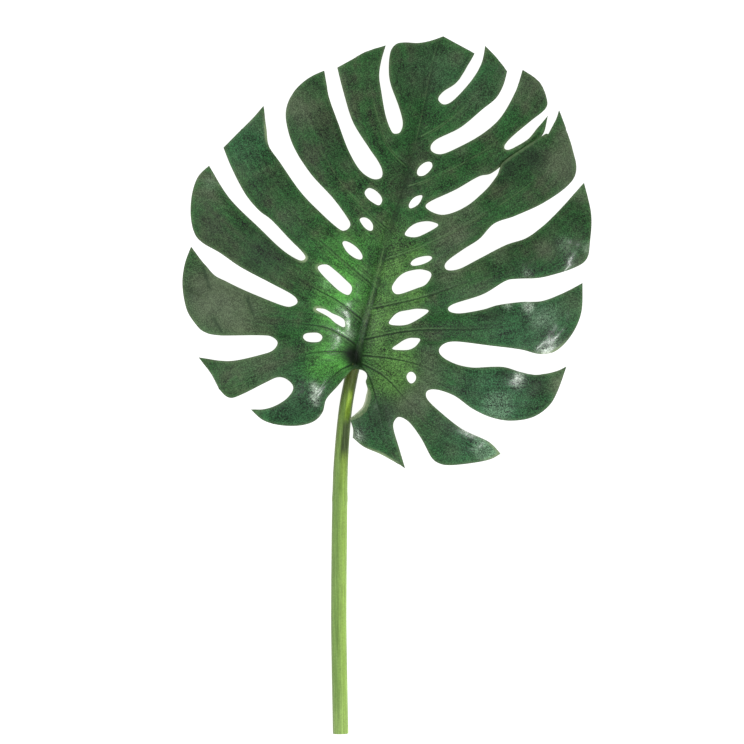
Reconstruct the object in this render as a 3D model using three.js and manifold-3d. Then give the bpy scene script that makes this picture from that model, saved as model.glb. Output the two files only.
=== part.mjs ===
// One monstera leaf, cut with its stalk and laid face up on a table.
// Millimetres, +Z up; z = 0 is the table, +Y runs from the cut end of the stalk towards the leaf's tip.
// The leaf is drawn flat first, in a leaf frame whose origin is beside the foot of the midrib, with x to the
// right and y towards the tip. A formula then lays the flat blade over the table: a valley along the midrib,
// a crest on each side of it, and lobes that droop until their ends lie on the table.
import * as THREE from 'three';
import Module from 'manifold-3d';

const wasm = await Module();
wasm.setup();

// Driving dimensions
const BLADE_THICKNESS = 1;
const STALK_CUT_RADIUS = 7.75;
const STALK_NECK_RADIUS = 6.5;
const STALK_TOP_RADIUS = 4.5;
const JOIN_GAP = 0.45;

// How finely the solids are divided
const MARGIN_STEP = 6;
const HOLE_STEP = 4.5;
const RIB_STEP = 12;
const GRID_STEP = 13;
const GRID_SWAY = 0.3;
const GRID_CLEARANCE = 7;
const RIB_CLEARANCE = 2.6;
const CURVE_PIECES = 32;
const STALK_SIDES = 16;
const STALK_STEPS = 48;

// How the blade lies: the arch of the midrib, the fold on both sides of it, and the droop away from it
const BASE_HEIGHT = 16;
const MIDRIB_ARCH = 22;
const TIP_DROP = 20;
const FOLD_HEIGHT = 24;
const FOLD_LOSS_TO_TIP = 0.55;
const FOLD_REACH_AT_BASE = 19;
const FOLD_REACH_AT_TIP = 40;
const DROOP = 44;
const DROOP_REACH = 180;
const BASAL_DROOP = 0.0025;
const BASAL_START = 10;
const LOBE_CAMBER = 3.5;
const LOBE_HALF_WIDTH = 20;
const LOBE_REACH = 32;
const LOBE_RAMP = 90;
const LOBE_BLEND = 9;
const WAVE_HEIGHT = 1.8;
const WAVE_LENGTH = 80;
const SETTLE_BLEND = 4;

// The leaf rests on the ends of a left and a right lobe and on the cut end of its stalk. The rest of it
// stays just clear of the table.
const REST_SPOTS = [[-167, 100], [230, 122]];
const REST_REACH = [14, 30];
const REST_GAP = 0.4;

// Ribs under the blade: depth and half width at the root, tapering to the end
const MIDRIB_DEPTH = 10;
const MIDRIB_END_DEPTH = 1.2;
const MIDRIB_HALF_WIDTH = 5.5;
const MIDRIB_TAPER = 0.7;
const MIDRIB_START = [0.03, 0.08];
const VEIN_DEPTH = 2.6;
const VEIN_HALF_WIDTH = 3;

// Where the margin of one lobe rides over its neighbour
const OVERLAP_START = [130, 182];
const OVERLAP_END = [180, 219];
const OVERLAP_FADE_IN = [4, 20];
const OVERLAP_FADE_OUT = [58, 82];
const OVERLAP_EDGE = -1.2;
const OVERLAP_PUSH = 4.5;
const OVERLAP_LIFT = 2.6;
const OVERLAP_REACH = 16;
const UNDERLAP_DROP = 1.2;

// Margins of the two lobes beside the stalk: one is rolled up, the other down
const ROLLS = [
  { line: [[7.8, -28], [3, -46.5], [-9, -59]], height: 6, reach: 7 },
  { line: [[-8, -12], [-24, -28], [-36, -47], [-40, -58]], height: -6, reach: 9 },
];

const MIDRIB = [[-3.5, -4], [3, 30], [15, 75], [27, 123], [44, 174], [59, 232], [71, 292], [78, 318]];

// One vein for each lobe, from the midrib to near the lobe's end. Twist is the slope across the lobe, up on
// the side that lies left of the vein; lift raises the lobe's end; phase places its waves.
const LOBES = [
  { vein: [[49, 192], [26, 218], [11, 268], [7, 298]], twist: 0.06, lift: 0, phase: 0.2 },
  { vein: [[29, 130], [6, 150], [-17, 174], [-42, 214], [-62, 255]], twist: -0.05, lift: 0, phase: 1.4 },
  { vein: [[15, 73], [-29, 110], [-60, 139], [-96, 188], [-114, 222]], twist: 0.08, lift: 4, phase: 2.7 },
  { vein: [[4, 39], [-22, 59], [-57, 78], [-110, 112], [-157, 155]], twist: -0.04, lift: 0, phase: 0.9 },
  { vein: [[-3, 15], [-29, 31], [-63, 37], [-120, 45], [-148, 58]], twist: 0.1, lift: 0, phase: 3.6 },
  { vein: [[-4, 5], [-19, 8.5], [-53, 6], [-102, -11], [-128, -22]], twist: 0.08, lift: 2, phase: 5.2 },
  { vein: [[-5, -3], [-22, -12], [-46, -36], [-78, -57]], twist: 0.05, lift: 0, phase: 4.4 },
  { vein: [[0, -5], [10, -18], [18, -44], [26, -78], [35, -95]], twist: 0.1, lift: 3, phase: 1.1 },
  { vein: [[-2, -2], [24, -16], [47, -40], [78, -71], [120, -91]], twist: 0.05, lift: 4, phase: 2.2 },
  { vein: [[-1, 5], [34, 1], [66, -7], [110, -27], [185, -30]], twist: -0.06, lift: 3, phase: 0.4 },
  { vein: [[2, 20], [52, 29], [120, 31], [180, 40], [206, 53]], twist: 0.07, lift: 3, phase: 3.1 },
  { vein: [[13, 51], [60, 61.5], [102, 75.7], [170, 102], [217, 138]], twist: -0.05, lift: 2, phase: 4.9 },
  { vein: [[23, 98], [70, 115], [142, 156], [188, 192], [202, 220]], twist: 0.12, lift: 6, phase: 1.8 },
  { vein: [[43, 170], [74, 181], [137, 219], [173, 276]], twist: -0.06, lift: 0, phase: 5.6 },
  { vein: [[55, 218], [83, 234], [116, 266], [135, 302]], twist: 0.06, lift: 0, phase: 2.9 },
];

// The margin, walked anticlockwise from the tip in stretches that meet at sharp corners. Most stretches run
// along one side of a slit, round its inner end and back along the other side.
const MARGIN = [
  [[83.5, 324.5], [72, 320.5], [58, 318], [44, 318.5], [36, 316.5], [30.5, 308], [29, 290], [31, 275],
    [39, 253], [43, 237], [41, 228], [37, 225.5], [32, 227.5], [26, 243], [21.5, 268], [19.5, 284],
    [21.5, 299], [26, 315.5]],
  [[26, 315.5], [6, 308.5], [-8, 300.5], [-23, 292.5]],
  [[-23, 292.5], [-16.5, 267], [-7, 237], [9, 211], [18, 198], [22.5, 188], [21, 181], [12, 180.5],
    [0, 189.5], [-11, 209], [-21, 236], [-31, 264], [-36, 290]],
  [[-36, 290], [-52, 282.5], [-66, 269], [-73.5, 253], [-73.5, 236], [-66, 212], [-49, 185], [-27, 161],
    [-13, 142], [-9.5, 134], [-14, 129], [-21, 131], [-40, 148], [-59, 168], [-79, 197], [-90.5, 214],
    [-93, 232], [-96.5, 255]],
  [[-96.5, 255], [-110, 240], [-137, 213]],
  [[-137, 213], [-129, 193], [-115, 166], [-101, 149], [-88, 139], [-70, 120], [-58, 108], [-54, 101.5],
    [-60, 99.5], [-77, 110], [-99, 131], [-130, 162], [-151, 195]],
  [[-151, 195], [-162, 184], [-168, 167], [-169.5, 146], [-166, 128], [-158, 117.5], [-140, 107],
    [-119, 92.5], [-90, 77], [-68, 65], [-62, 58.5], [-66, 54.5], [-76, 54.5], [-105, 66], [-132, 78.5],
    [-149, 88.5], [-169, 114]],
  [[-169, 114], [-175.5, 96], [-177.7, 75], [-173.5, 51], [-165, 36.5], [-156, 28], [-140, 24.5],
    [-98, 24.5], [-87, 22.5], [-82, 17], [-87, 10], [-98, 6], [-122, 0.5], [-138, -0.2], [-161.5, 3]],
  [[-161.5, 3], [-149, -14], [-140, -30], [-130, -37.8], [-117, -34], [-95, -23], [-81, -17], [-71, -20.5],
    [-66.5, -28], [-73, -38], [-85, -45.5], [-97, -49], [-109, -49.5]],
  [[-109, -49.5], [-97, -60], [-80, -65], [-60, -65.5], [-45, -61], [-37, -52], [-33, -39], [-22, -26],
    [-10, -12], [-5, -8.5], [1.5, -9.5], [5.8, -12.3], [7, -16.5], [5.7, -21], [7.8, -28], [6.3, -36],
    [3, -46.5], [-4.5, -54], [-9.2, -59], [-7, -69], [-7.5, -77.5]],
  [[-7.5, -77.5], [4, -87], [22, -95], [45.5, -108.5]],
  [[45.5, -108.5], [39, -87], [33.5, -67], [36, -58.5], [41, -57], [50, -63], [61, -78], [71.5, -97],
    [80, -103.5], [92, -105], [115, -102.5], [131, -99], [141, -93.5]],
  [[141, -93.5], [129, -81.5], [104, -70], [81, -52], [67.5, -38.5], [67.5, -30.5], [78, -29.8], [95, -36],
    [113, -49], [132, -57.5], [152, -60.5], [173, -57], [189, -46], [198, -31], [207, -6]],
  [[207, -6], [196, -11], [177, -14.5], [160, -11.5], [142, -6.3], [112, -7], [92, -2], [79.5, 7],
    [82, 14.5], [95, 18.2], [130, 14.2], [160, 10.5], [182, 6], [198, 10.5], [213, 27], [222, 49],
    [223, 77.5]],
  [[223, 77.5], [203, 67], [182, 59.2], [160, 58.3], [138, 55.3], [122, 50.5], [100, 46.8], [88.7, 49],
    [92, 55], [122, 65], [145, 78.5], [157, 80.8], [182, 82.5], [212, 91.5], [227, 101.5], [230.5, 119],
    [231.8, 146], [224.5, 178]],
  [[224.5, 178], [202, 153], [185, 136], [166, 122], [145, 115], [120, 102], [99, 91], [86.5, 90],
    [86, 97], [103, 109.5], [119, 120], [134, 135.5], [155, 143.5], [184, 157], [208, 174], [217, 190],
    [213, 212], [199.5, 251]],
  [[199.5, 251], [194, 237], [184, 221.5], [167, 209], [146, 194], [136, 183], [123, 167.5], [105, 152.5],
    [84, 144.5], [68.5, 149], [67.5, 156], [95, 169], [118, 182.3], [131, 186], [148, 198.5],
    [168, 212.5], [182, 225.5], [188.5, 245]],
  [[188.5, 245], [178, 232.5], [167, 219.5], [150, 210], [144, 212], [150, 221], [170, 238], [186, 251.5],
    [187.5, 262], [180, 279], [163, 291]],
  [[163, 291], [155, 268], [140, 242], [121, 225], [97, 211.5], [80, 205], [70.5, 209.5], [75, 219],
    [100, 231.5], [122, 249.5], [136, 261], [144, 275], [148, 289.5]],
  [[148, 289.5], [139, 301], [125.5, 315]],
  [[125.5, 315], [121.5, 297], [111, 279], [94, 260], [84, 255], [78, 260.5], [83, 268], [97, 278],
    [109, 297], [115, 307.5]],
  [[115, 307.5], [100, 315.5], [83.5, 324.5]],
];

// The holes beside the midrib, up the left side and then up the right side
const HOLES = [
  [[-56.5, 22.5], [-54, 26], [-48, 27], [-41, 26.7], [-37, 23], [-39.5, 18.7], [-46, 17.8], [-53, 18.8]],
  [[-43.7, 50.7], [-35, 50.7], [-27, 46.3], [-19.5, 43], [-14.7, 39], [-15, 32.5], [-23.5, 36.5], [-31, 43]],
  [[-41.7, 91], [-33, 94.5], [-24, 88.5], [-15, 80.5], [-7.5, 72.5], [-10, 65], [-17, 66.7], [-27, 74.7]],
  [[-17, 116], [-14, 118.2], [-7.5, 115.5], [-1, 110], [3, 103.5], [1.5, 99.8], [-5, 101.5], [-12.5, 107.5]],
  [[0, 139.5], [4.5, 141.5], [9.5, 139.5], [13.3, 134.5], [13, 129], [9, 128.7], [4, 132.5]],
  [[5, 166.5], [9, 171], [15, 169], [20.5, 164], [22.7, 158.5], [19.5, 153.7], [13, 156.5], [7.5, 161]],
  [[56.5, 188], [59.5, 193.2], [65, 197], [70.3, 197.2], [72, 193], [69, 188], [63.5, 183.7], [58, 183.7]],
  [[48.3, 154], [51, 159.4], [56, 163], [62, 163.5], [59, 156], [53.5, 151.8], [49.5, 151]],
  [[44.5, 124.5], [48, 130.8], [55, 135.7], [64, 137.9], [72, 137.3], [77.7, 133.5], [64, 125.2], [54, 122]],
  [[50.3, 96], [54, 100], [61, 102.5], [69, 103.2], [72, 101], [68, 97.3], [60.5, 94.4], [53, 93.5]],
  [[31.5, 71.5], [36, 80], [43, 86], [52, 89], [62, 89.8], [71, 86], [66, 75.7], [56, 71.2], [37.5, 65.5]],
  [[29, 36], [32, 42.5], [38.5, 47.5], [48, 49.5], [58, 50.8], [68.5, 48.5], [53, 38], [42, 34.5]],
  [[32, 11.3], [38, 16], [45, 20.3], [52, 21.9], [60, 20.5], [56, 14], [49.5, 10.5], [40, 10]],
  [[46.5, -16], [49, -12.2], [53, -12.3], [56, -16.5], [55, -20.7], [51.5, -23], [48, -20.5]],
];

// The stalk's centre line, from under the foot of the midrib to the cut end, with its height over the table
const STALK = [[-3, 8, 13], [-6, -6, 11], [-8.5, -16, 10.2], [-14.5, -50, 9.7], [-18.5, -95, 9.2],
  [-20, -140, 8.8], [-21, -240, 8.4], [-20.7, -290, 8.2], [-19.2, -373, 7.75]];
// Shares of the stalk's length where its neck is full, where the knee ends in a faint ring, and where the
// stalk below reaches its full width
const NECK_SHARE = 0.05;
const KNEE_SHARE = 0.385;
const FULL_SHARE = 0.5;
const KNEE_RING = 0.35;
const KNEE_RING_WIDTH = 0.012;

const { clamp, degToRad, lerp, smoothstep } = THREE.MathUtils;
const flat = ([x, y]) => new THREE.Vector2(x, y);

// Evenly spaced points along a curve, without its last point
function spaced(curve, step) {
  const count = Math.max(2, Math.round(curve.getLength() / step));
  return curve.getSpacedPoints(count).slice(0, -1);
}

function marginLoop() {
  return MARGIN.flatMap((stretch) => spaced(new THREE.SplineCurve(stretch.map(flat)), MARGIN_STEP));
}

function holeLoop(hole) {
  const points = hole.map(([x, y]) => new THREE.Vector3(x, y, 0));
  const curve = new THREE.CatmullRomCurve3(points, true, 'catmullrom');
  return spaced(curve, HOLE_STEP).map(({ x, y }) => new THREE.Vector2(x, y));
}

// Curves as short straight pieces that distances are measured to
const piecesOf = (points) => new THREE.SplineCurve(points.map(flat)).getPoints(CURVE_PIECES);
const midribPieces = piecesOf(MIDRIB);
const lobes = LOBES.map((lobe) => ({ ...lobe, pieces: piecesOf(lobe.vein) }));
const rolls = ROLLS.map((roll) => ({ ...roll, pieces: piecesOf(roll.line) }));

// The nearest place on a curve: its distance, its share of the way along, and which side the point lies on
function nearest(pieces, x, y) {
  let best = { distance: Infinity };
  for (let i = 0; i < CURVE_PIECES; i++) {
    const a = pieces[i];
    const dx = pieces[i + 1].x - a.x;
    const dy = pieces[i + 1].y - a.y;
    const share = clamp(((x - a.x) * dx + (y - a.y) * dy) / (dx * dx + dy * dy), 0, 1);
    const offX = x - a.x - share * dx;
    const offY = y - a.y - share * dy;
    const distance = Math.hypot(offX, offY);
    if (distance < best.distance) {
      best = { distance, along: (i + share) / CURVE_PIECES, side: Math.sign(dx * offY - dy * offX) };
    }
  }
  return best;
}

// Height above the table flattens smoothly to nothing where the blade would sink into it
function settle(height) {
  if (height > SETTLE_BLEND) return height;
  if (height < -SETTLE_BLEND) return 0;
  return (height + SETTLE_BLEND) ** 2 / (4 * SETTLE_BLEND);
}

// What the lobes add to the height: camber, twist, waves and lift, blended from the nearest veins
function lobeHeight(x, y, fromMidrib) {
  const veins = lobes.map((lobe) => ({ lobe, ...nearest(lobe.pieces, x, y) }));
  const closest = Math.min(...veins.map((vein) => vein.distance));
  let sum = 0;
  let weights = 0;
  for (const { lobe, distance, along, side } of veins) {
    const weight = Math.exp(-(((distance - closest) / LOBE_BLEND) ** 2));
    const reach = Math.min(distance, LOBE_REACH);
    const camber = -LOBE_CAMBER * (reach / LOBE_HALF_WIDTH) ** 2;
    const wave = WAVE_HEIGHT * Math.sin((2 * Math.PI * fromMidrib) / WAVE_LENGTH + lobe.phase);
    sum += weight * (camber + lobe.twist * side * reach + wave + lobe.lift * along ** 2);
    weights += weight;
  }
  return (smoothstep(fromMidrib, 0, LOBE_RAMP) * sum) / weights;
}

// Where one lobe rides over its neighbour, its margin is pushed across and raised, and the other is lowered
function overlap(x, y) {
  const ahead = flat(OVERLAP_END).sub(flat(OVERLAP_START)).normalize();
  const off = new THREE.Vector2(x, y).sub(flat(OVERLAP_START));
  const far = off.dot(ahead);
  const below = off.x * ahead.y - off.y * ahead.x;
  const window = smoothstep(far, ...OVERLAP_FADE_IN) * (1 - smoothstep(far, ...OVERLAP_FADE_OUT));
  const near = window * Math.exp(-((below / OVERLAP_REACH) ** 2));
  if (below < OVERLAP_EDGE) return new THREE.Vector3(0, 0, -UNDERLAP_DROP * near);
  const push = new THREE.Vector3(-ahead.y * OVERLAP_PUSH, ahead.x * OVERLAP_PUSH, OVERLAP_LIFT);
  return push.multiplyScalar(near);
}

// How far the underside stays off the table
function tableGap(x, y) {
  const away = Math.min(...REST_SPOTS.map((spot) => Math.hypot(x - spot[0], y - spot[1])));
  return REST_GAP * smoothstep(away, ...REST_REACH);
}

function rollHeight(x, y) {
  return rolls.reduce((sum, { pieces, height, reach }) => {
    return sum + height * Math.exp(-((nearest(pieces, x, y).distance / reach) ** 2));
  }, 0);
}

// A point of the flat leaf on the upper face of the laid blade
function laid(x, y) {
  const { distance, along } = nearest(midribPieces, x, y);
  const spine = BASE_HEIGHT + MIDRIB_ARCH * Math.sin(Math.PI * along) - TIP_DROP * along ** 2;
  const reach = lerp(FOLD_REACH_AT_BASE, FOLD_REACH_AT_TIP, along);
  const fold = FOLD_HEIGHT * (1 - FOLD_LOSS_TO_TIP * along) * (1 - Math.exp(-distance / reach));
  const droop = DROOP * (distance / DROOP_REACH) ** 2;
  const basal = BASAL_DROOP * Math.max(0, -y - BASAL_START) ** 2;
  const shift = overlap(x, y);
  const height = spine + fold - droop - basal + lobeHeight(x, y, distance) + rollHeight(x, y) + shift.z;
  const lowest = BLADE_THICKNESS + tableGap(x, y);
  return new THREE.Vector3(x + shift.x, y + shift.y, lowest + settle(height - lowest));
}

// The upward normal of the laid blade
function normalAt(x, y) {
  const h = 0.5;
  const across = laid(x + h, y).sub(laid(x - h, y));
  const ahead = laid(x, y + h).sub(laid(x, y - h));
  return across.cross(ahead).normalize();
}

const midribHalfWidth = (along) => MIDRIB_HALF_WIDTH * (1 - MIDRIB_TAPER * along);
const archOf = (distance, halfWidth) => Math.max(0, 1 - (distance / halfWidth) ** 2);

// How far the ribs stand out below the blade
function ribDepth(x, y) {
  const { distance, along } = nearest(midribPieces, x, y);
  const depth = lerp(MIDRIB_END_DEPTH, MIDRIB_DEPTH, (1 - along) ** 2) * smoothstep(along, ...MIDRIB_START);
  const midrib = depth * archOf(distance, midribHalfWidth(along));
  const veins = lobes.map(({ pieces }) => {
    const vein = nearest(pieces, x, y);
    return VEIN_DEPTH * (1 - vein.along) * archOf(vein.distance, VEIN_HALF_WIDTH);
  });
  return Math.max(midrib, ...veins);
}

// Rows of points along a rib: its crest and its two feet
function ribRows(points, halfWidthAt) {
  const curve = new THREE.SplineCurve(points.map(flat));
  const count = Math.round(curve.getLength() / RIB_STEP);
  const rows = [];
  for (let i = 0; i < count; i++) {
    const share = (i + 0.5) / count;
    const at = curve.getPointAt(share);
    const ahead = curve.getTangentAt(share);
    const half = halfWidthAt(share);
    for (const offset of [0, half, -half]) {
      rows.push(new THREE.Vector2(at.x - ahead.y * offset, at.y + ahead.x * offset));
    }
  }
  return rows;
}

// Whether a point lies on the leaf, by counting the loops' edges to its right
function isInside(loops, x, y) {
  let inside = false;
  for (const loop of loops) {
    loop.forEach((a, i) => {
      const b = loop[(i + 1) % loop.length];
      if (a.y > y !== b.y > y && x < a.x + ((y - a.y) / (b.y - a.y)) * (b.x - a.x)) inside = !inside;
    });
  }
  return inside;
}

// All points of the flat leaf: margins first, then the ribs, then a staggered grid over the rest
function flatPoints(loops) {
  const points = loops.flat();
  const addWhereFree = (point, clearance) => {
    if (!isInside(loops, point.x, point.y)) return;
    if (points.every((other) => other.distanceTo(point) > clearance)) points.push(point);
  };
  ribRows(MIDRIB, midribHalfWidth).forEach((point) => addWhereFree(point, RIB_CLEARANCE));
  for (const { vein } of LOBES) {
    ribRows(vein, () => VEIN_HALF_WIDTH).forEach((point) => addWhereFree(point, RIB_CLEARANCE));
  }
  const box = new THREE.Box2().setFromPoints(loops[0]);
  const rise = GRID_STEP * Math.sin(degToRad(60));
  for (let y = box.min.y, row = 0; y < box.max.y; y += rise, row++) {
    for (let x = box.min.x + (row % 2) * (GRID_STEP / 2); x < box.max.x; x += GRID_STEP) {
      // a slight sway keeps any four grid points off one circle
      const swayed = new THREE.Vector2(x + GRID_SWAY * Math.sin(y), y + GRID_SWAY * Math.sin(x));
      addWhereFree(swayed, GRID_CLEARANCE);
    }
  }
  return points;
}

// Delaunay triangles of a set of points, adding one point at a time
function triangulate(points) {
  const far = 1e4;
  const all = [...points, ...[[-far, -far], [far, -far], [0, far]].map(flat)];
  const n = points.length;
  const circled = (a, b, c) => {
    const [p, q, r] = [all[a], all[b], all[c]];
    const d = 2 * (p.x * (q.y - r.y) + q.x * (r.y - p.y) + r.x * (p.y - q.y));
    const x = (p.lengthSq() * (q.y - r.y) + q.lengthSq() * (r.y - p.y) + r.lengthSq() * (p.y - q.y)) / d;
    const y = (p.lengthSq() * (r.x - q.x) + q.lengthSq() * (p.x - r.x) + r.lengthSq() * (q.x - p.x)) / d;
    return { corners: [a, b, c], x, y, reach: (p.x - x) ** 2 + (p.y - y) ** 2 };
  };
  let triangles = [circled(n, n + 1, n + 2)];
  points.forEach((point, i) => {
    const rim = new Map();
    triangles = triangles.filter((triangle) => {
      if ((point.x - triangle.x) ** 2 + (point.y - triangle.y) ** 2 >= triangle.reach) return true;
      triangle.corners.forEach((a, k) => {
        const b = triangle.corners[(k + 1) % 3];
        if (!rim.delete(`${b},${a}`)) rim.set(`${a},${b}`, [a, b]);
      });
      return false;
    });
    for (const [a, b] of rim.values()) triangles.push(circled(a, b, i));
  });
  return triangles.map(({ corners }) => corners).filter((corners) => corners.every((corner) => corner < n));
}

// The flat leaf as points and triangles
function flatLeaf() {
  const loops = [marginLoop(), ...HOLES.map(holeLoop)];
  const points = flatPoints(loops);
  const triangles = triangulate(points).filter((corners) => {
    const [a, b, c] = corners.map((corner) => points[corner]);
    return isInside(loops, (a.x + b.x + c.x) / 3, (a.y + b.y + c.y) / 3);
  });
  return { points, triangles };
}

function geometryOf(positions, index) {
  return new THREE.BufferGeometry()
    .setAttribute('position', new THREE.Float32BufferAttribute(positions, 3))
    .setIndex(index);
}

// The blade: the flat triangles laid over the table, copied below at the blade's thickness plus the ribs, and
// walled along every margin. A gap below and a rise above make it the room that the blade needs.
function bladeGeometry({ points, triangles }, gap = 0, rise = 0) {
  const upper = points.map(({ x, y }) => laid(x, y));
  const lower = points.map(({ x, y }, i) => {
    const below = upper[i].clone().addScaledVector(normalAt(x, y), -BLADE_THICKNESS - gap);
    below.z = Math.max(tableGap(x, y), below.z - ribDepth(x, y));
    return below;
  });
  upper.forEach((point) => point.setZ(point.z + rise));
  const n = points.length;
  const index = [];
  const open = new Map();
  for (const [a, b, c] of triangles) {
    index.push(a, b, c, a + n, c + n, b + n);
    for (const [from, to] of [[a, b], [b, c], [c, a]]) {
      if (!open.delete(`${to},${from}`)) open.set(`${from},${to}`, [from, to]);
    }
  }
  for (const [from, to] of open.values()) index.push(to, from, from + n, to, from + n, to + n);
  return geometryOf([...upper, ...lower].flatMap((point) => point.toArray()), index);
}

function stalkRadius(share) {
  const neck = lerp(STALK_TOP_RADIUS, STALK_NECK_RADIUS, smoothstep(share, 0, NECK_SHARE));
  const body = lerp(neck, STALK_CUT_RADIUS, smoothstep(share, NECK_SHARE, FULL_SHARE));
  return body + KNEE_RING * Math.exp(-(((share - KNEE_SHARE) / KNEE_RING_WIDTH) ** 2));
}

// The whole stalk: rings along its centre line, kept above the table, closed at both ends
function stalkGeometry() {
  const curve = new THREE.CatmullRomCurve3(STALK.map((point) => new THREE.Vector3(...point)));
  const up = new THREE.Vector3(0, 0, 1);
  const positions = [];
  const index = [];
  for (let i = 0; i <= STALK_STEPS; i++) {
    const share = i / STALK_STEPS;
    const at = curve.getPointAt(share);
    const ahead = curve.getTangentAt(share);
    const right = new THREE.Vector3().crossVectors(ahead, up).normalize();
    const top = new THREE.Vector3().crossVectors(right, ahead);
    for (let k = 0; k < STALK_SIDES; k++) {
      const turn = (2 * Math.PI * k) / STALK_SIDES;
      const ring = at.clone().addScaledVector(right, stalkRadius(share) * Math.sin(turn));
      ring.addScaledVector(top, stalkRadius(share) * Math.cos(turn));
      positions.push(ring.x, ring.y, Math.max(0, ring.z));
      const here = i * STALK_SIDES + k;
      const next = i * STALK_SIDES + ((k + 1) % STALK_SIDES);
      if (i === STALK_STEPS) continue;
      index.push(here, next, here + STALK_SIDES, next, next + STALK_SIDES, here + STALK_SIDES);
    }
  }
  const last = STALK_STEPS * STALK_SIDES;
  for (let k = 1; k < STALK_SIDES - 1; k++) index.push(0, k + 1, k, last, last + k, last + k + 1);
  return geometryOf(positions, index);
}

function solidOf(geometry) {
  const vertProperties = new Float32Array(geometry.attributes.position.array);
  const triVerts = new Uint32Array(geometry.index.array);
  return new wasm.Manifold(new wasm.Mesh({ numProp: 3, vertProperties, triVerts }));
}

// The stalk as it fits against the underside of the blade
function seatedStalkGeometry(leafFlat) {
  const room = solidOf(bladeGeometry(leafFlat, JOIN_GAP, 2 * BASE_HEIGHT));
  const mesh = solidOf(stalkGeometry()).subtract(room).getMesh();
  return geometryOf([...mesh.vertProperties], [...mesh.triVerts]);
}

function meshOf(name, geometry, color, roughness) {
  geometry.computeVertexNormals();
  const mesh = new THREE.Mesh(geometry, new THREE.MeshStandardMaterial({ color, roughness, metalness: 0 }));
  mesh.name = name;
  return mesh;
}

const leafFlat = flatLeaf();
const leaf = new THREE.Group();
leaf.add(meshOf('leaf_blade', bladeGeometry(leafFlat), 0x2f5f33, 0.4));
leaf.add(meshOf('leaf_stalk', seatedStalkGeometry(leafFlat), 0x8fb552, 0.5));

// The origin is the middle of the leaf's footprint on the table
const bounds = new THREE.Box3().setFromObject(leaf);
const middle = bounds.getCenter(new THREE.Vector3());
leaf.position.set(-middle.x, -middle.y, -bounds.min.z);

export default leaf;
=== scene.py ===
# %% [markdown]
# # A monstera leaf, cut and laid on a table
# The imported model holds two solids: the blade and the stalk. Both are right in size and place but coarse,
# so this lesson makes a finer piece for each and gives it a skin. The flat leaf is drawn once more from the
# same points as the solids, in millimetres, and laid over the table by the same formula.

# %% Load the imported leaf
import math

import bpy
import numpy as np
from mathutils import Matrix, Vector
from mathutils.geometry import delaunay_2d_cdt
from mathutils.kdtree import KDTree


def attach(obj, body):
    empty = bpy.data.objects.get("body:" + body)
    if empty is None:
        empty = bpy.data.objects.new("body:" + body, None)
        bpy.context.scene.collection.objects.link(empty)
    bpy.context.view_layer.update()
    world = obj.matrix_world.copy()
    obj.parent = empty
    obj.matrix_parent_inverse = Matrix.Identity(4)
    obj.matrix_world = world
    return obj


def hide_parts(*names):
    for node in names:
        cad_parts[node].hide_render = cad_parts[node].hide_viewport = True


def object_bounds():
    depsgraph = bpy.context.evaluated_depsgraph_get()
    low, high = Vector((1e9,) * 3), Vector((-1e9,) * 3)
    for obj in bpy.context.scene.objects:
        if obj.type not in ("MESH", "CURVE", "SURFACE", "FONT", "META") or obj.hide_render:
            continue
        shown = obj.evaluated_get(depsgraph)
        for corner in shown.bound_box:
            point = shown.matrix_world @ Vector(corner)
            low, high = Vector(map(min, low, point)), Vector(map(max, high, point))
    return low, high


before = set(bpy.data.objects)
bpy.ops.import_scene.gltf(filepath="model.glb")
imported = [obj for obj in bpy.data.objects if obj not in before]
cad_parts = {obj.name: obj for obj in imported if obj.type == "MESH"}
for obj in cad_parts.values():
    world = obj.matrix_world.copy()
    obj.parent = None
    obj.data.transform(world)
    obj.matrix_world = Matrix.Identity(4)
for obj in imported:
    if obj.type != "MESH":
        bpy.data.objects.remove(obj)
cad_low, cad_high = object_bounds()
MM = 0.001
print("packed leaf, metres:", [round(side, 4) for side in cad_high - cad_low])

# %% [markdown]
# ## The flat drawing
# A leaf grows flat and is bent afterwards, so its outline is easiest to draw flat. The margin is walked in
# stretches that meet at sharp corners, because a smooth curve through a corner would round it off. The holes
# are closed curves, and every lobe has one vein that starts at the midrib.

# %% Midrib, veins and the shape of each lobe
MIDRIB = [(-3.5, -4), (3, 30), (15, 75), (27, 123), (44, 174), (59, 232), (71, 292), (78, 318)]

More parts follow.
